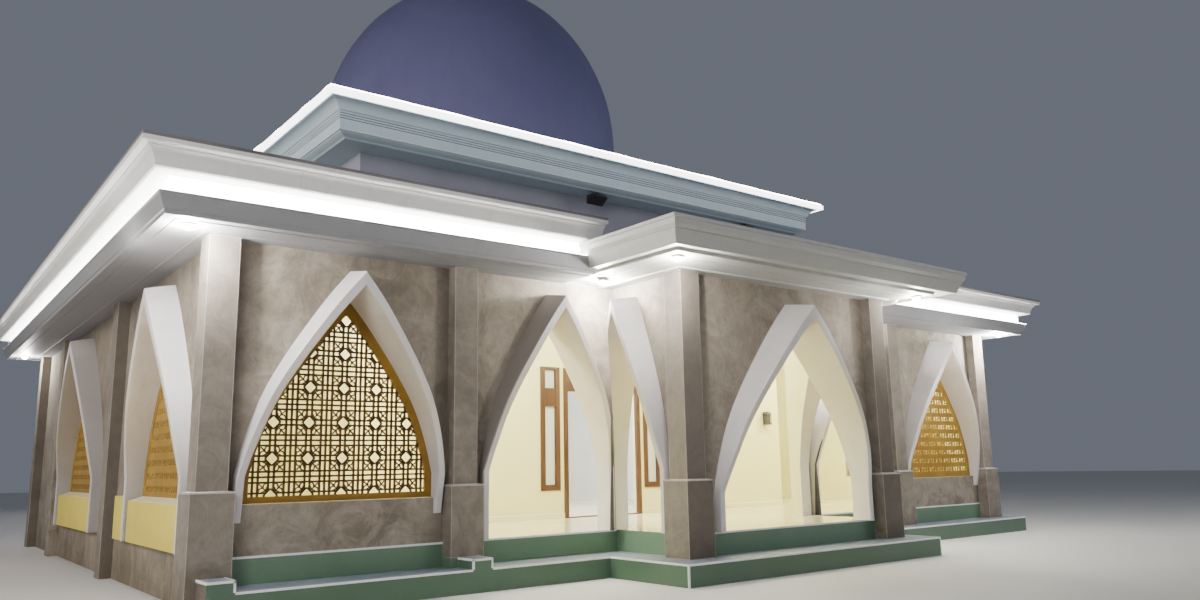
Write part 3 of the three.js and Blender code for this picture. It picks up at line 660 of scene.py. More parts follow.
def arch_half(half, foot, spring, apex):
    curve = [(half * p.y, spring + (apex - spring) * p.x, p.z) for p in SHAPE]
    return [(half, foot, 0.0), *curve] if foot < spring else curve


def half_width_at(z, half, spring, apex):
    """Half the width of an arch at height z."""
    if z <= spring:
        return half
    share = (z - spring) / (apex - spring)
    for a, b in zip(SHAPE, SHAPE[1:]):
        if a.x <= share <= b.x:
            t = (share - a.x) / (b.x - a.x)
            return half * (a.y + t * (b.y - a.y))
    return 0.0


# Where an arch stands and how it is shaped; corner is the place of the mitre with its neighbour
Bay = namedtuple("Bay", "name side at half foot sill spring apex out foot_out corner",
                 defaults=(None, SPRING, APEX, FRAME_APEX_OUT, FRAME_FOOT_OUT, 0.0))
PORCH_SIDE_Y = -0.42
PORCH_SIDE_HALF = 0.62
SIDE_BAYS = {"front": (2.17, 1.485), "rear": (7.95, 1.8)}
outer_x = (PIER + FRONT_PIERS[0]) / 2
inner_left = (FRONT_PIERS[0] + PIER + PORCH_LEFT + RECESS) / 2
inner_right = (PORCH_RIGHT - RECESS + FRONT_PIERS[1]) / 2
BAYS = [
    Bay("front_left_outer", "front", (outer_x, RECESS), 1.285, FRONT_FOOT, SILL),
    Bay("front_left_inner", "front", (inner_left, RECESS), 1.1, FLOOR_TOP,
        corner=PORCH_LEFT + RECESS - inner_left),
    Bay("front_right_inner", "front", (inner_right, RECESS), 1.1, FLOOR_TOP,
        corner=-(inner_right - PORCH_RIGHT + RECESS)),
    Bay("front_right_outer", "front", (WIDTH - outer_x, RECESS), 1.285, FRONT_FOOT, SILL),
    Bay("porch_front", "front", (MIDDLE, RECESS - PORCH_DEPTH), 1.69, FLOOR_TOP,
        spring=PORCH_SPRING, apex=PORCH_APEX, out=PORCH_FRAME_APEX_OUT),
    Bay("porch_left", "left", (PORCH_LEFT + RECESS, PORCH_SIDE_Y), PORCH_SIDE_HALF, FLOOR_TOP,
        corner=PORCH_SIDE_Y - RECESS),
    Bay("porch_right", "right", (PORCH_RIGHT - RECESS, PORCH_SIDE_Y), PORCH_SIDE_HALF, FLOOR_TOP,
        corner=RECESS - PORCH_SIDE_Y),
]
for label, (centre_y, half) in SIDE_BAYS.items():
    for side, wall_x in (("left", RECESS), ("right", WIDTH - RECESS)):
        BAYS.append(Bay(f"{side}_{label}", side, (wall_x, centre_y), half, SIDE_FOOT, SILL,
                        out=SIDE_FRAME_APEX_OUT, foot_out=SIDE_FRAME_FOOT_OUT))


def towards(start, end):
    """The point a chamfer's width from start on the way to end."""
    a, b = Vector(start), Vector(end)
    return tuple(a + (b - a).normalized() * ARCH_CHAMFER)


def arch_frame(bay):
    """The leaning blade round an opening, with eased edges and a lining through the wall."""
    front_apex = bay.apex - FRAME_APEX_LOWERING
    inner_half = bay.half - FRAME_THICK
    outer = arch_half(bay.half, bay.foot, bay.spring, bay.apex)
    outer_front = arch_half(bay.half, bay.foot, bay.spring, front_apex)
    inner_front = arch_half(inner_half, bay.foot, bay.spring, front_apex - FRAME_APEX_THICK)
    inner = arch_half(inner_half, bay.foot, bay.spring, bay.apex - OPENING_APEX_DROP)
    rings = []
    for wall, front, back, (x, z, share) in zip(outer, outer_front, inner_front, inner):
        y = -(bay.foot_out + (bay.out - bay.foot_out) * share)
        if not rings and bay.sill and bay.side == "front":
            y *= FOOT_TAPER
        wall_outer = (wall[0], -GAP, wall[1])
        front_outer = (front[0], y, front[1])
        front_inner = (back[0], y, back[1])
        lining_x = max(x - LINING, 0.0)
        lining_z = z - (LINING if x < LINING else 0.0)
        rings.append([
            wall_outer,
            towards(front_outer, wall_outer),
            towards(front_outer, front_inner),
            towards(front_inner, front_outer),
            towards(front_inner, (lining_x, 0, lining_z)),
            (lining_x, 0.0, lining_z),
            (lining_x, WALL + LINING, lining_z),
            (x + LINING, WALL + LINING, z + LINING),
            (x + LINING, -GAP, z + LINING),
        ])
    cuts = []
    if bay.corner:
        sign = copysign(1, bay.corner)
        cuts = [((bay.corner - sign * GAP, 0, 0), (sign, back, 0)) for back in (-1, 0)]
    name = f"{bay.name}_arch"
    make(f"{name}_blade", Shape().arch(rings), LOOK["arch_frame"], [name],
         side=bay.side, at=bay.at, smooth=35, cuts=cuts)


# Lattices

PITCH = 0.42
PITCH_Z = 0.418
FIRST_ROSETTE = 1.645
LATTICE_Y = WALL / 2
LATTICE_DEPTH = 0.024
BAR_WIDTH = 0.023
LEAF_WIDTH = 0.014
BORDER = 0.095
BORDER_DEPTH = 0.036
BAR_PLACES = [-0.355, -0.073, 0.073, 0.355, 0.5]
ROSETTE_BREAK = 0.12
ROSETTE_FLAT = 0.028
ROSETTE_REACH = 0.175
LEAF = [
    [(0.10, 0.10), (0.20, 0.20), (0.31, 0.31)],
    [(0.20, 0.20), (0.27, 0.20), (0.32, 0.16), (0.33, 0.11)],
    [(0.20, 0.20), (0.20, 0.27), (0.16, 0.32), (0.11, 0.33)],
    [(0.13, 0.13), (0.19, 0.12), (0.24, 0.09)],
    [(0.13, 0.13), (0.12, 0.19), (0.09, 0.24)],
]
QUADRANTS = ((1, 1), (-1, 1), (-1, -1), (1, -1))
FRET_ROW = 0.17
FRET_BAND = 0.09
FRET_PITCH = 0.096
FRET_BAR = 0.044
FRET_WIDE = 1.7
FRET_RAIL = 0.022
FRET_DEPTH = 0.013


class Screen:
    """The pierced field of a lattice: bars are kept where the opening has room for them."""

    def __init__(self, bay, depth):
        self.bay = bay
        self.depth = depth
        self.half = bay.half - FRAME_THICK - LINING
        self.apex = bay.apex - OPENING_APEX_DROP - 2 * LINING
        self.foot = bay.sill + LINING
        self.field_half = self.half - BORDER
        self.field_apex = self.apex - 2.1 * BORDER
        self.field_foot = self.foot + 0.75 * BORDER
        self.lowest = self.field_foot - BORDER / 3
        self.shape = Shape()

    def room(self, z):
        if z >= self.field_apex:
            return 0.0
        return half_width_at(z, self.field_half, self.bay.spring, self.field_apex) + BORDER / 3

    def bar(self, x0, z0, x1, z1, width):
        ends = Vector((x0, LATTICE_Y, z0)), Vector((x1, LATTICE_Y, z1))
        run = ends[1] - ends[0]
        side = Vector((-run.z, 0, run.x)).normalized() * (width / 2)
        out = Vector((0, self.depth / 2, 0))
        self.shape.loft([[tuple(p + s * side + d * out) for s, d in ((-1, -1), (1, -1), (1, 1), (-1, 1))]
                         for p in ends])

    def level(self, x0, x1, z, width=BAR_WIDTH):
        reach = self.room(z)
        a, b = max(x0, -reach), min(x1, reach)
        if b - a > width / 2 and z > self.lowest:
            self.bar(a, z, b, z, width)

    def upright(self, x, z0, z1, width=BAR_WIDTH):
        a, b = max(z0, self.lowest), z1
        while b > a and self.room(b) < abs(x):
            b -= width / 2
        if b - a > width / 2:
            self.bar(x, a, x, b, width)

    def stroke(self, start, end, width):
        x, z = (start[0] + end[0]) / 2, (start[1] + end[1]) / 2
        if z > self.lowest and abs(x) < self.room(z):
            self.bar(*start, *end, width)

    def border(self, material):
        """Makes the flat frame round the field, which follows the arch."""
        y0, y1 = LATTICE_Y - BORDER_DEPTH / 2, LATTICE_Y + BORDER_DEPTH / 2
        outer = arch_half(self.half, self.foot, self.bay.spring, self.apex)
        inner = arch_half(self.field_half, self.field_foot, self.bay.spring, self.field_apex)
        shape = Shape().arch([[(x, y0, z), (x, y1, z), (u, y1, w), (u, y0, w)]
                              for (x, z, _), (u, w, _) in zip(outer, inner)])
        shape.block(-self.half, self.half, y0 + 0.001, y1 - 0.001, self.foot, self.field_foot + 0.004)
        name = f"{self.bay.name}_lattice"
        make(f"{name}_border", shape, material, [name], side=self.bay.side, at=self.bay.at)

    def net(self, material):
        make(f"{self.bay.name}_lattice_net", self.shape, material, side=self.bay.side, at=self.bay.at)


def rosette(screen, cx, cz):
    """One repeat of the net: level and upright bars, a lozenge in the middle and four leaf sprays."""
    left, right = cx - PITCH / 2, cx + PITCH / 2
    low, high = cz - PITCH_Z / 2, cz + PITCH_Z / 2
    gap = ROSETTE_BREAK * PITCH
    for share in BAR_PLACES:
        x, z = cx + share * PITCH, cz + share * PITCH_Z
        if abs(share) < 0.1:
            screen.upright(x, low, cz - gap)
            screen.upright(x, cz + gap, high)
            screen.level(left, cx - gap, z)
            screen.level(cx + gap, right, z)
        else:
            screen.upright(x, low, high)
            screen.level(left, right, z)
    corners = []
    for a, b in QUADRANTS:
        points = [(a * ROSETTE_REACH, b * ROSETTE_FLAT), (a * ROSETTE_FLAT, b * ROSETTE_REACH)]
        corners += points if a * b > 0 else points[::-1]
    lozenge = [(cx + u * PITCH, cz + w * PITCH) for u, w in corners]
    for start, end in zip(lozenge, lozenge[1:] + lozenge[:1]):
        screen.stroke(start, end, BAR_WIDTH)
    for a, b in QUADRANTS:
        for line in LEAF:
            points = [(cx + a * u * PITCH, cz + b * w * PITCH) for u, w in line]
            for start, end in zip(points, points[1:]):
                screen.stroke(start, end, LEAF_WIDTH)


def rosette_lattice(bay):
    screen = Screen(bay, LATTICE_DEPTH)
    # Border and net are painted as shaded copies of the gold lattice
    screen.border(SHADED_GILT)
    for column in range(-4, 5):
        for row in range(-2, 6):
            rosette(screen, column * PITCH, FIRST_ROSETTE + row * PITCH_Z)
    screen.net(BACKLIT_LATTICE)


def fret_lattice(bay):
    """Broad level bands with small key-fret openings in rows between them."""
    screen = Screen(bay, FRET_DEPTH)
    screen.border(LOOK["lattice"])
    columns = int(screen.field_half / FRET_PITCH) + 2
    for row in range(int((screen.field_apex - screen.field_foot) / FRET_ROW) + 1):
        z = screen.field_foot + row * FRET_ROW
        screen.level(-screen.half, screen.half, z, FRET_BAND)
        low, high = z + FRET_BAND / 2, z + FRET_ROW - FRET_BAND / 2
        for column in range(-columns, columns + 1):
            x = (column + 0.5 * (row % 2)) * FRET_PITCH
            phase = (column + row) % 3
            screen.upright(x, low, high, FRET_BAR * (1 if phase else FRET_WIDE))
            if phase:
                middle = low + (high - low) * (0.35 if phase == 1 else 0.65)
                screen.level(x, x + FRET_PITCH, middle, FRET_RAIL)
    screen.net(LOOK["lattice"] if bay.side == "front" else SIDE_FRET)


SILL_TOP = 1.2
SILL_EASE = 0.01


def sill_box(bay):
    """The yellow box under a side window, its pale sloping top, and the front box's run past the arch."""
    inner = bay.half - FRAME_THICK - SILL_SIDE_GAP + LINING
    low, high = bay.foot - LINING, bay.sill + LINING
    runs = [(-inner, inner, high)]
    if bay.name.endswith("front"):
        near, far = bay.half + SILL_SIDE_GAP - LINING, SILL_FAR_END_Y - bay.at[1] + LINING
        runs.append((near, far, SILL_TOP) if bay.side == "right" else (-far, -near, SILL_TOP))
    shape = Shape()
    for start, end, top in runs:
        shape.loft([upright_rectangle(start, end, low, top, GAP),
                    upright_rectangle(start, end, low, top, -SILL_OUT),
                    upright_rectangle(start + SILL_EASE, end - SILL_EASE, low + SILL_EASE, top - SILL_EASE,
                                      -SILL_OUT - LINING)])
    make(f"{bay.name}_sill_box", shape, SILL_YELLOW, side=bay.side, at=bay.at, smooth=30)
    slope = Shape().loft([
        upright_rectangle(-inner, inner, high - LINING, SILL_TOP, WALL / 3),
        upright_rectangle(-inner, inner, high - LINING, high + 0.001, -SILL_OUT + LINING)])
    make(f"{bay.name}_sill_slope", slope, SILL_EDGE, side=bay.side, at=bay.at)


for bay in BAYS:
    arch_frame(bay)
    if bay.name == "front_left_outer":
        rosette_lattice(bay)
    elif bay.sill:
        fret_lattice(bay)
    if bay.sill and bay.side != "front":
        sill_box(bay)


# Eaves: profiles as pairs of the distance out from the walls and the height

RECESS_BACK = 0.56
MAIN_PROFILE = [
    (-PIER, SOFFIT), (0.03, SOFFIT), (0.034, 4.125), (0.08, 4.123), (0.09, SOFFIT),
    (0.44, SOFFIT), (0.445, 4.122), (0.47, 4.122), (0.475, SOFFIT),
    (0.604, SOFFIT), (0.612, 4.17), (0.626, 4.178), (0.682, 4.33), (0.692, 4.334), (0.692, 4.358),
    (RECESS_BACK, 4.374), (RECESS_BACK, 4.562), (0.742, 4.566), (0.764, 4.581),
    (0.768, 4.62), (0.779, 4.66), (0.799, 4.705), (0.822, 4.735), (0.846, 4.755),
    (0.852, 4.772), (0.915, 4.782), (0.922, 4.79), (0.922, 4.87), (0.8, 4.87), (0.8, ROOF_TOP),
    (GAP - RECESS, ROOF_TOP), (GAP - RECESS, ROOF_UNDERSIDE - GAP), (-PIER, ROOF_UNDERSIDE - GAP),
]
PORCH_PROFILE = [
    (-PIER, SOFFIT), (0.03, SOFFIT), (0.05, 4.12), (0.09, 4.122), (0.1, 4.14),
    (0.371, 4.165), (0.378, 4.174), (0.602, 4.187), (0.612, 4.232), (0.63, 4.236), (0.847, 4.194),
    (0.862, 4.2), (0.886, 4.262), (0.93, 4.35), (0.936, 4.367), (0.93, 4.374), (0.945, 4.38), (0.979, 4.422),
    (0.983, 4.49), (1.002, 4.496), (1.002, PORCH_ROOF_TOP),
    (GAP - RECESS, PORCH_ROOF_TOP), (GAP - RECESS, PORCH_ROOF_UNDERSIDE - GAP),
    (-PIER, PORCH_ROOF_UNDERSIDE - GAP),
]
TIER_SOFFIT = 6.645
TIER_ROOF = 7.2
TIER_ROOF_UNDERSIDE = TIER_ROOF - 0.12
TIER_TOP = 7.29
TIER_SEAT = 0.075
GROOVE = 0.017
GROOVE_DEPTH = 1.6 * GROOVE
GROOVES = [(0.607, 6.922), (0.611, 6.962), (0.615, 7.002)]


def groove(out, z):
    return [(out, z - GROOVE / 2), (out - GROOVE_DEPTH, z - GROOVE / 3),
            (out - GROOVE_DEPTH, z + GROOVE / 3), (out, z + GROOVE / 2)]


TIER_PROFILE = [
    (-HALL_WALL, TIER_SOFFIT), (0.455, TIER_SOFFIT), (0.467, 6.652), (0.48, 6.672), (0.566, 6.71), (0.58, 6.724),
    (0.585, 6.738), (0.599, 6.742),
    *(point for spot in GROOVES for point in groove(*spot)),
    (0.622, 7.035), (0.64, 7.045), (0.662, 7.095), (0.71, 7.15), (0.775, 7.188), (0.797, 7.19),
    (0.8, 7.2), (0.885, 7.204), (0.893, 7.212), (0.893, TIER_TOP), (0.8, TIER_TOP), (0.8, TIER_ROOF),
    (GAP - TIER_SEAT, TIER_ROOF), (GAP - TIER_SEAT, TIER_ROOF_UNDERSIDE - GAP),
    (-HALL_WALL, TIER_ROOF_UNDERSIDE - GAP),
]
BEAD_PROFILE = [(0.595, 6.738), (0.605, 6.738), (0.607, 6.745), (0.605, 6.752), (0.595, 6.752)]
LIP_PROFILE = [(0.82, 7.196), (0.902, 7.196), (0.902, 7.284), (0.893, 7.284), (0.893, 7.202), (0.82, 7.2)]
RIBBON_PROFILE = [(0.668, 4.359), (0.688, 4.357), (0.688, 4.364), (0.668, 4.366)]
LED_LOW = 4.385
LED_HIGH = 4.553
LED_PROFILE = [(RECESS_BACK + out, z) for out, z in (
    (0, LED_LOW), (0.006, LED_LOW), (0.012, LED_LOW + 0.02), (0.012, LED_HIGH - 0.02), (0.006, LED_HIGH),
    (0, LED_HIGH))]


def swept(profile, stations, closed=False):
    """A profile run past plan stations: x, y and the direction of the mitre there."""
    return Shape().loft([[(x + o * u, y + o * v, z) for o, z in profile] for x, y, u, v in stations], closed)


def groove_line(out, z):
    """The profile of the painted shade in a groove."""
    near, far, half = out - 0.009, out - 0.016, 0.007
    return [(far, z - half), (near, z - half), (near, z + half), (far, z + half)]


CORNICE_END = 0.74
HALF_GAP = GAP / 2
end_left = PORCH_LEFT - CORNICE_END
end_right = PORCH_RIGHT + CORNICE_END
MAIN_RUNS = {
    "cornice_front_left": [(HALF_GAP, 0, -1, -1), (end_left, 0, 0, -1)],
    "cornice_front_right": [(end_right, 0, 0, -1), (WIDTH - HALF_GAP, 0, 1, -1)],
    "cornice_right": [(WIDTH, HALF_GAP, 1, -1), (WIDTH, DEPTH - HALF_GAP, 1, 1)],
    "cornice_back": [(WIDTH - HALF_GAP, DEPTH, 1, 1), (HALF_GAP, DEPTH, -1, 1)],
    "cornice_left": [(0, DEPTH - HALF_GAP, -1, 1), (0, HALF_GAP, -1, -1)],
}
PORCH_RUN = [
    (PORCH_LEFT, RECESS - GAP, -1, 0),
    (PORCH_LEFT, -PORCH_DEPTH, -1, -1),
    (PORCH_RIGHT, -PORCH_DEPTH, 1, -1),
    (PORCH_RIGHT, RECESS - GAP, 1, 0),
]
TIER_RUN = [
    (HALL_LEFT, HALL_FRONT, -1, -1),
    (HALL_RIGHT, HALL_FRONT, 1, -1),
    (HALL_RIGHT, TIER_BACK, 1, 1),
    (HALL_LEFT, TIER_BACK, -1, 1),
]

for name, stations in MAIN_RUNS.items():
    shape = swept(MAIN_PROFILE, stations)
    if name.startswith("cornice_front"):
        inner, outer = (end_left, PORCH_LEFT + PIER) if "left" in name else (PORCH_RIGHT - PIER, end_right)
        shape.block(inner, outer, RECESS, PIER, SOFFIT, ROOF_UNDERSIDE - GAP)
        shape.block(inner, outer, 0, RECESS - GAP, PORCH_ROOF_TOP + GAP, ROOF_TOP)
    make(f"{name}_moulding", shape, LOOK["cornice"], [name], smooth=28)
    make(f"{name}_light", swept(LED_PROFILE, stations), LED)
    make(f"{name}_ribbon", swept(RIBBON_PROFILE, stations), RIBBON)
make("cornice_porch_moulding", swept(PORCH_PROFILE, PORCH_RUN), PORCH_CORNICE,
     ["cornice_porch"], smooth=28)
make("tier_cornice_moulding", swept(TIER_PROFILE, TIER_RUN, True), TIER_CORNICE,
     ["tier_cornice"], smooth=28)
make("tier_lip_light", swept(LIP_PROFILE, TIER_RUN, True), LIP_LIGHT)
make("tier_bead", swept(BEAD_PROFILE, TIER_RUN, True), NOSING)
# Dark strips of painted shade in the tier's grooves
for index, spot in enumerate(GROOVES):
    make(f"tier_groove_{index}", swept(groove_line(*spot), TIER_RUN, True), SHADOW)

ROPE_OUT = 0.862
ROPE_RADIUS = 0.018
ROPE_STEPS = 90


def rope_light():
    """A rope of lamps laid along the tier's lip, a little slack between its clips."""
    path = []
    corners = [(x + ROPE_OUT * u, y + ROPE_OUT * v) for x, y, u, v in TIER_RUN]
    for (x0, y0), (x1, y1) in zip(corners, corners[1:] + corners[:1]):
        along = Vector((x1 - x0, y1 - y0)).normalized()
        for i in range(ROPE_STEPS):
            t = i / ROPE_STEPS
            wave = 0.008 * sin(t * 61) + 0.006 * sin(t * 23 + 1)
            path.append((x0 + (x1 - x0) * t - wave * along.y, y0 + (y1 - y0) * t + wave * along.x,
                         TIER_TOP + 0.014 + 0.3 * abs(wave)))
    make("tier_rope_light", Shape().tube(path, ROPE_RADIUS, 6), ROPE, smooth=60)


rope_light()


# Dome

DOME_Y = (HALL_FRONT + TIER_BACK) / 2
DRUM_TOP = 7.7
DOME_RADIUS = 3.53
DOME_CENTRE = 9.02
DOME_STRETCH = 1.17
DOME_SHELL = 0.09
DOME_SEGMENTS = 96
DOME_RINGS = 40
TOP_HOLE = 0.02
SEAM = 0.006
SEAM_EVERY = 6


def dome():
    """The dome with raised upright seams, as a shell that is open to the hall."""
    rise = DOME_RADIUS * DOME_STRETCH
    first = asin((DRUM_TOP - DOME_CENTRE) / rise)

    def ring(radius, height, seams):
        points = []
        for s in range(DOME_SEGMENTS):
            angle = 2 * pi * s / DOME_SEGMENTS
            r = radius - (0 if seams and s % SEAM_EVERY == 0 else SEAM)
            points.append((MIDDLE + r * cos(angle), DOME_Y + r * sin(angle), height))
        return points

    angles = [first + (pi / 2 - TOP_HOLE - first) * i / DOME_RINGS for i in range(DOME_RINGS + 1)]
    outside = [ring(DOME_RADIUS * cos(a), DOME_CENTRE + rise * sin(a), True) for a in angles]
    inner = DOME_RADIUS - DOME_SHELL
    inside_rings = [ring(inner * cos(a), DOME_CENTRE + inner * DOME_STRETCH * sin(a), False)
                    for a in reversed(angles)]
    make("dome_shell", Shape().loft([*inside_rings, *outside]), LOOK["dome"], ["dome"], smooth=40)


dome()


# Joinery in the hall's front wall

CASING = 0.06
DOOR_HALF = 0.85
OPENING_HEAD = 3.27
WINDOW_NEAR = 1.06
WINDOW_WIDTH = 0.3
WINDOW_SILL = 1.13
WINDOW_FOOT_RAIL = (WINDOW_SILL - CASING, WINDOW_SILL + 0.045)
WINDOW_STILE = 0.035
WINDOW_MID_RAIL = (2.572, 2.905)
DOOR_STILE = 0.03
DOOR_FOOT_RAIL = (FLOOR_TOP + GAP, FLOOR_TOP + 0.02)
DOOR_TOP_RAIL = (2.86, 3.24)
FRAME_EASE = 0.005
CASING_OUT = 0.025
PANE_BACK = 0.03
PANE_HALF = 0.003
FRAME_DEPTH = 0.05
TUCK = 0.002


def joinery(name, x0, x1, foot, rails, stile, is_window):
    """Timber round an opening: a casing on the wall, jambs through it, rails and glass set well back."""
    y0, y1 = HALL_FRONT - CASING_OUT, HALL_FRONT + FRAME_DEPTH
    low = foot - CASING if is_window else foot
    head = OPENING_HEAD + CASING / 3
    shape = Shape()
    shape.block(x0 - CASING, x0 + stile, y0, y1, low, head)
    shape.block(x1 - stile, x1 + CASING, y0, y1, low, head)
    shape.block(x0 + stile / 2, x1 - stile / 2, y0 + TUCK, y1 - TUCK, OPENING_HEAD - stile, head)
    for z0, z1 in rails:
        shape.block(x0 + stile / 2, x1 - stile / 2, y0 + 2 * TUCK, y1 - 2 * TUCK, z0, z1)
    ease(make(f"{name}_frame", shape, WOOD), FRAME_EASE)
    pane_y = HALL_FRONT + PANE_BACK
    edges = [z for rail in rails for z in rail][1:] + [OPENING_HEAD - stile]
    glazing = Shape()
    for z0, z1 in zip(edges[::2], edges[1::2]):
        if z1 > foot and (is_window or z0 > foot + 1):
            glazing.block(x0 + stile - TUCK, x1 - stile + TUCK, pane_y - PANE_HALF, pane_y + PANE_HALF, z0, z1)
    make(f"{name}_glass", glazing, GLASS)


for sign, side in ((-1, "left"), (1, "right")):
    near = MIDDLE + sign * WINDOW_NEAR
    far = near + sign * WINDOW_WIDTH
    joinery(f"hall_window_{side}", min(near, far), max(near, far), WINDOW_SILL,
            [WINDOW_FOOT_RAIL, WINDOW_MID_RAIL], WINDOW_STILE, True)
joinery("hall_door", MIDDLE - DOOR_HALF, MIDDLE + DOOR_HALF, FLOOR_TOP + GAP,
        [DOOR_FOOT_RAIL, DOOR_TOP_RAIL], DOOR_STILE, False)


SKIRTING_PROFILE = [(-GAP, GAP), (-0.014, GAP), (-0.014, 0.09), (-0.006, 0.1), (-GAP, 0.1)]


def skirting():
    """A low tiled skirting along the hall's front, with a gap at the doorway."""
    shape = Shape()
    door_edge = DOOR_HALF + CASING
    for ends in ((HALL_LEFT, MIDDLE - door_edge), (MIDDLE + door_edge, HALL_RIGHT)):
        shape.loft([[(x, HALL_FRONT + y, FLOOR_TOP + z) for y, z in SKIRTING_PROFILE] for x in ends])
    make("hall_skirting", shape, SILL_EDGE)


skirting()


# Lamps

PORCH_SOFFIT = 4.169
# Round lamps under the eaves: where each one is, and its watts
DOWNLIGHTS = [
    (-0.3, -0.3, SOFFIT, 270),
    (PORCH_LEFT - 0.36, -0.3, SOFFIT, 260),
    (PORCH_RIGHT + 0.36, -0.3, SOFFIT, 430),
    (WIDTH, -0.4, SOFFIT, 400),
    (PORCH_LEFT - 0.4, -PORCH_DEPTH - 0.4, PORCH_SOFFIT, 120),
    (PORCH_RIGHT + 0.4, -PORCH_DEPTH - 0.4, PORCH_SOFFIT, 100),
    (-0.35, DEPTH - 0.3, SOFFIT, 100),
    (WIDTH + 0.35, DEPTH - 0.3, SOFFIT, 100),
    (WIDTH + 0.35, SIDE_PIER_Y, SOFFIT, 100),
    (MIDDLE, DEPTH + 0.3, SOFFIT, 100),
]
BULB_DROP = 0.14
# Rings of the lamps: how far each hangs below the soffit, and its radius or its share of the oval
RING_STEPS = [(0, 0.085), (0.012, 0.085), (0.022, 0.074)]
FACE_STEPS = [(0.0215, 0.066), (0.04, 0.062), (0.056, 0.046), (0.064, 0.02)]
OVAL_STEPS = [(0, 1), (0.03, 1), (0.055, 0.9), (0.075, 0.6)]

for index, (x, y, z, _) in enumerate(DOWNLIGHTS):
    for part, steps, material in (("ring", RING_STEPS, FITTING), ("face", FACE_STEPS, LAMP)):
        shape = Shape().loft([circle(x, y, z - drop, radius, 20) for drop, radius in steps])
        make(f"downlight_{index}_{part}", shape, material, smooth=40)


def oval_lamp(x, y, z):
    """A long oval bulkhead under the porch's eaves."""
    rings = [circle(x, y, z - drop, 0.09 * scale, 24, 0.2 * scale) for drop, scale in OVAL_STEPS]
    make("porch_oval_lamp", Shape().loft(rings), FITTING, smooth=45)


def wall_lamp(x, z):
    """A small dark lantern on the hall's front: a back plate, a hood, a cage of bars and a glass."""
    y = HALL_FRONT - GAP
    shape = Shape().block(x - 0.045, x + 0.045, y - 0.02, y, z - 0.09, z + 0.15)
    shape.loft([slab(x, 0.08, (y - 0.16, z + 0.1), (y - 0.02, z + 0.1)),
                slab(x, 0.04, (y - 0.11, z + 0.15), (y - 0.04, z + 0.15))])
    shape.block(x - 0.07, x + 0.07, y - 0.15, y - 0.02, z - 0.13, z - 0.1)
    for dx in (-0.065, 0.055):
        for dy in (-0.145, -0.035):
            shape.block(x + dx, x + dx + 0.01, y + dy, y + dy + 0.01, z - 0.1, z + 0.1)
    make("hall_wall_lamp", shape, BLACK)
    pane = Shape().block(x - 0.05, x + 0.05, y - 0.13, y - 0.035, z - 0.098, z + 0.098)
    make("hall_wall_lamp_glass", pane, SMOKED)


def flood_lamp(label, x):
    """A small flood lamp hung under the tier's eaves on a bracket."""
    y, z = HALL_FRONT - 0.4, TIER_SOFFIT
    shape = Shape().loft([slab(x, 0.17, (y - 0.08, z - 0.05), (y + 0.1, z - 0.05)),
                          slab(x, 0.19, (y - 0.1, z - 0.09), (y + 0.08, z - 0.22))])
    shape.block(x - 0.02, x + 0.02, y - 0.01, y + 0.03, z - 0.06, z)
    make(f"flood_lamp_{label}", shape, BLACK)


oval_lamp(PORCH_RIGHT + 0.32, -PORCH_DEPTH + 0.1, PORCH_SOFFIT)
wall_lamp(12.56, 2.44)
flood_lamp("left", 7.7)
flood_lamp("right", 11.8)


# Edges of the steps and caps of the pedestals

NOSE = 0.022
NOSE_DEEP = 0.012
NOSE_OUT = 0.003
PORCH_NOSE = 0.02
PEDESTAL_TOP = 1.285
PEDESTAL_OUT = 0.065


def strip(name, path, profile, material):
    """Runs a profile along a path in plan, with the solid on the path's left."""
    points = [Vector(p) for p in path]
    normals = [Vector((d.y, -d.x)) for d in ((b - a).normalized() for a, b in zip(points, points[1:]))]
    stations = []
    for (x, y), before, after in zip(path, [None, *normals], [*normals, None]):
        if before and after:
            out = (before + after) / (1 + before.dot(after))
        else:
            out = before or after
        stations.append((x, y, out.x, out.y))
    make(name, swept(profile, stations), material)


def nosing(name, path, z):
    """A white edge strip along the top of a step."""
    profile = [(NOSE_OUT, z - NOSE), (NOSE_OUT, z + NOSE_OUT), (-NOSE_DEEP, z + NOSE_OUT), (-NOSE_DEEP, z - NOSE)]
    strip(name, path, profile, NOSING)


# The pier's faces that its pedestal goes round
MIDDLE_CAP = [(0, RECESS), (0, 0), (PIER, 0), (PIER, RECESS)]
LEFT_CAP = [(RECESS, PIER), (0, PIER), *MIDDLE_CAP[1:]]
RIGHT_CAP = [*MIDDLE_CAP[:3], (PIER, PIER), (PIER - RECESS, PIER)]
PEDESTALS = {
    "corner_left": (0, 0, LEFT_CAP),
    "front_left": (FRONT_PIERS[0], 0, MIDDLE_CAP),
    "porch_left": (PORCH_LEFT, -PORCH_DEPTH, LEFT_CAP),
    "porch_right": (PORCH_RIGHT - PIER, -PORCH_DEPTH, RIGHT_CAP),
    "front_right": (FRONT_PIERS[1], 0, MIDDLE_CAP),
    "corner_right": (WIDTH - PIER, 0, RIGHT_CAP),
}


def pedestal_cap(label, path):
    """A sloping fillet of mortar on a pedestal, with a pale lip."""
    edge = PEDESTAL_OUT + 0.004
    profile = [(-0.01, GAP), (edge, GAP - 0.012), (edge, 0.004), (0.0, 0.016), (-0.01, 0.016)]
    strip(f"pedestal_cap_{label}", path, [(out, PEDESTAL_TOP + z) for out, z in profile], MORTAR)


for label, (x, y, cap) in PEDESTALS.items():
    pedestal_cap(label, [(x + dx, y + dy) for dx, dy in cap])


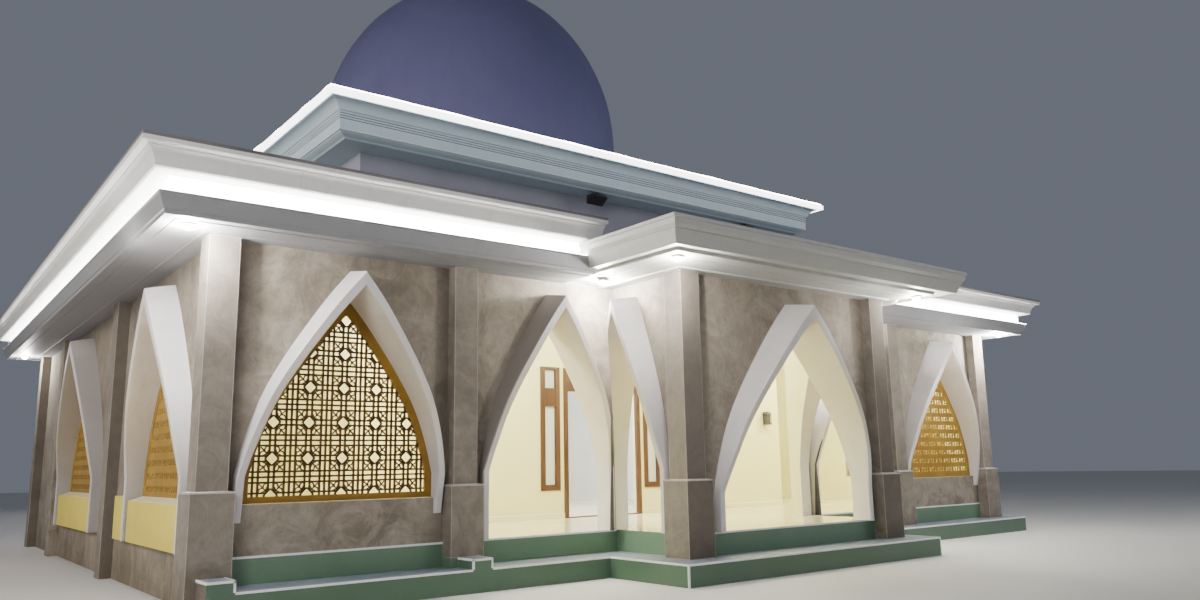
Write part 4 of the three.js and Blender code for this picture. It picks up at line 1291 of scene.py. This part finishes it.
def block_edges(label, x0, x1, left_upright):
    """White edges round the front of a block on the step: the top's and the upright ones."""
    front = -STEP_OUT
    nosing(f"{label}_top_edge", [(x0, -PEDESTAL_OUT), (x0, front), (x1, front), (x1, -PEDESTAL_OUT)], BLOCK_TOP)
    shape = Shape()
    spans = [(x1 - NOSE, x1 + NOSE_OUT), (x0 - NOSE_OUT, x0 + NOSE)]
    for span in spans if left_upright else spans[:1]:
        shape.block(*span, front - NOSE_OUT, front + NOSE, STEP_TOP, BLOCK_TOP)
    make(f"{label}_upright_edges", shape, NOSING)


block_start, block_end = FRONT_PIERS[0] + BLOCK_INSET, FRONT_PIERS[0] + PIER - BLOCK_INSET
step_left, step_right = PORCH_LEFT - STEP_OUT, PORCH_RIGHT + STEP_OUT
step_front = -PORCH_DEPTH - STEP_OUT
step_end = WIDTH + STEP_RIGHT_OVERHANG
block_edges("corner_block", STEP_LEFT_END, PIER, False)
block_edges("front_block", block_start, block_end, True)
corners = Shape()
for x, inward in ((step_left, 1), (step_right, -1)):
    edge = sorted((x - NOSE_OUT * inward, x + PORCH_NOSE * inward))
    corners.block(*edge, step_front - NOSE_OUT, step_front + PORCH_NOSE, GAP, STEP_TOP - NOSE)
make("step_corner_edges", corners, NOSING)
nosing("lower_step_nosing_left", [(PIER, -STEP_OUT), (block_start, -STEP_OUT)], STEP_TOP)
nosing("lower_step_nosing", [
    (block_end, -STEP_OUT),
    (step_left, -STEP_OUT),
    (step_left, step_front),
    (step_right, step_front),
    (step_right, -STEP_OUT),
    (step_end, -STEP_OUT),
    (step_end, STEP_RETURN),
], STEP_TOP)
for label, start, end, y in (
    ("left_outer", PIER + PEDESTAL_OUT, FRONT_PIERS[0] - PEDESTAL_OUT, PLINTH_FACE),
    ("left_inner", FRONT_PIERS[0] + PIER + PEDESTAL_OUT, PORCH_LEFT + PLINTH_FACE, PLINTH_FACE),
    ("porch", PORCH_LEFT + PIER + PEDESTAL_OUT, PORCH_RIGHT - PIER - PEDESTAL_OUT, PLINTH_FACE - PORCH_DEPTH),
    ("right_inner", PORCH_RIGHT - PLINTH_FACE, FRONT_PIERS[1] - PEDESTAL_OUT, PLINTH_FACE),
    ("right_outer", FRONT_PIERS[1] + PIER + PEDESTAL_OUT, WIDTH - PIER - PEDESTAL_OUT, PLINTH_FACE),
):
    nosing(f"floor_nosing_{label}", [(start, y), (end, y)], FLOOR_TOP)


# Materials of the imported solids

SOLID_EASE = 0.006
SLOT_OF = {part["node"]: part["material_slot"] for part in frame["record"]["subparts"]}
EDGED = ("pier", "wall_render", "step_tile", "interior")
for name, node in frame["nodes"].items():
    slot_name = SLOT_OF[name]
    node.data.materials.clear()
    node.data.materials.append(LOOK[slot_name])
    if slot_name in EDGED:
        eased = ease(node, SOLID_EASE)
        eased.limit_method = "ANGLE"
        eased.angle_limit = radians(50)


# Stage, lights and camera

STAGE = 90


def stage_floor():
    mesh = bpy.data.meshes.new("stage_floor")
    corners = slab(0, STAGE, (-STAGE, 0), (STAGE, 0))
    mesh.from_pydata(corners, [], [(0, 1, 2, 3)])
    floor = place("stage_floor", mesh)
    m = Nodes("stage_floor", 0.7)
    mesh.materials.append(m.finish(m.mix(m.noise(0.3), (0.62, 0.61, 0.60), (0.58, 0.57, 0.56))))


def light(name, kind, where, watts, colour):
    lamp = place(name, bpy.data.lights.new(name, kind))
    lamp.data.energy = watts
    lamp.data.color = colour
    lamp.location = where
    return lamp


def area_light(name, where, target, size, watts, colour):
    lamp = light(name, "AREA", where, watts, colour)
    lamp.data.shape = "RECTANGLE"
    lamp.data.size, lamp.data.size_y = size
    lamp.rotation_euler = (Vector(target) - Vector(where)).to_track_quat("-Z", "Y").to_euler()


def lamp_light(name, where, watts, radius=0.08, colour=(1, 0.97, 0.92)):
    light(name, "POINT", ORIGIN + Vector(where), watts, colour).data.shadow_soft_size = radius


VERANDA_BULB_Z = ROOF_UNDERSIDE - 0.35
VERANDA_LAMPS = [
    ("left", 1.7, 1.75, 620, 0.95),
    ("left_rear", 1.7, 8, 260, 0.8),
    ("right", WIDTH - 1.7, 1.75, 600, 0.66),
    ("right_rear", WIDTH - 1.7, 8, 230, 0.8),
    ("inner_left", 4.7, 1.75, 300, 0.74),
    ("inner_right", WIDTH - 4.7, 1.75, 330, 0.74),
    ("porch", MIDDLE, 0.6, 380, 0.74),
]


def lights():
    world = bpy.data.worlds.new("studio")
    world.use_nodes = True
    background = world.node_tree.nodes["Background"]
    background.inputs["Color"].default_value = (0.66, 0.72, 0.86, 1)
    background.inputs["Strength"].default_value = 0.22
    bpy.context.scene.world = world
    area_light("key", (-17, -18, 9), (-2, -4, 3), (8, 7), 620, (1, 0.96, 0.91))
    area_light("near", (-13.5, -11.5, 4.5), (-7, -5, 2), (3, 3), 210, (1, 0.96, 0.92))
    area_light("fill", (18, -22, 9), (2, -3, 3), (14, 10), 780, (0.95, 0.96, 1))
    area_light("left", (-20, -2.5, 7), (-8, -4, 2), (6, 5), 1150, (1, 0.93, 0.84))
    for index, (x, y, z, watts) in enumerate(DOWNLIGHTS):
        lamp_light(f"downlight_{index}", (x, y, z - BULB_DROP), watts)
    for label, x, y, watts, blue in VERANDA_LAMPS:
        lamp_light(f"veranda_{label}", (x, y, VERANDA_BULB_Z), watts, 0.25, (1, 0.97, blue))
    area_light("back", (7, 27, 13), (0, 4, 3), (12, 8), 1100, (0.95, 0.96, 1))
    lamp_light("right_wall", (WIDTH - 2.3, -1.5, 3.2), 110, 0.3)
    lamp_light("left_wall", (-0.85, 0.75, 3.7), 40, 0.2)
    lamp_light("porch_wall", (PORCH_RIGHT - 0.8, -PORCH_DEPTH - 0.7, 3.6), 22, 0.2)
    lamp_light("hall", (MIDDLE, 5.4, 4.2), 2300, 0.5, (0.97, 0.98, 1))


CAMERA_PLACE = Vector((-10.731, -16.447, 1.490))
HEADING, PITCH_ANGLE, ROLL = radians(51.904), radians(10.316), radians(-1.095)
FOCAL_PIXELS = 912.125
PHOTO_WIDTH = 1200


def camera():
    """The photograph's own camera, worked out from the building's straight edges."""
    forward = Vector((cos(HEADING) * cos(PITCH_ANGLE), sin(HEADING) * cos(PITCH_ANGLE),
                      sin(PITCH_ANGLE)))
    right = Vector((sin(HEADING), -cos(HEADING), 0))
    up = right.cross(forward)
    across = right * cos(ROLL) + up * sin(ROLL)
    upward = up * cos(ROLL) - right * sin(ROLL)
    data = bpy.data.cameras.new("photo_camera")
    data.sensor_width = 36
    data.lens = data.sensor_width * FOCAL_PIXELS / PHOTO_WIDTH
    data.clip_end = 300
    lens = place("photo_camera", data)
    turn = Matrix((across, upward, -forward)).transposed().to_4x4()
    lens.matrix_world = Matrix.Translation(CAMERA_PLACE) @ turn
    bpy.context.scene.camera = lens


stage_floor()
lights()
camera()
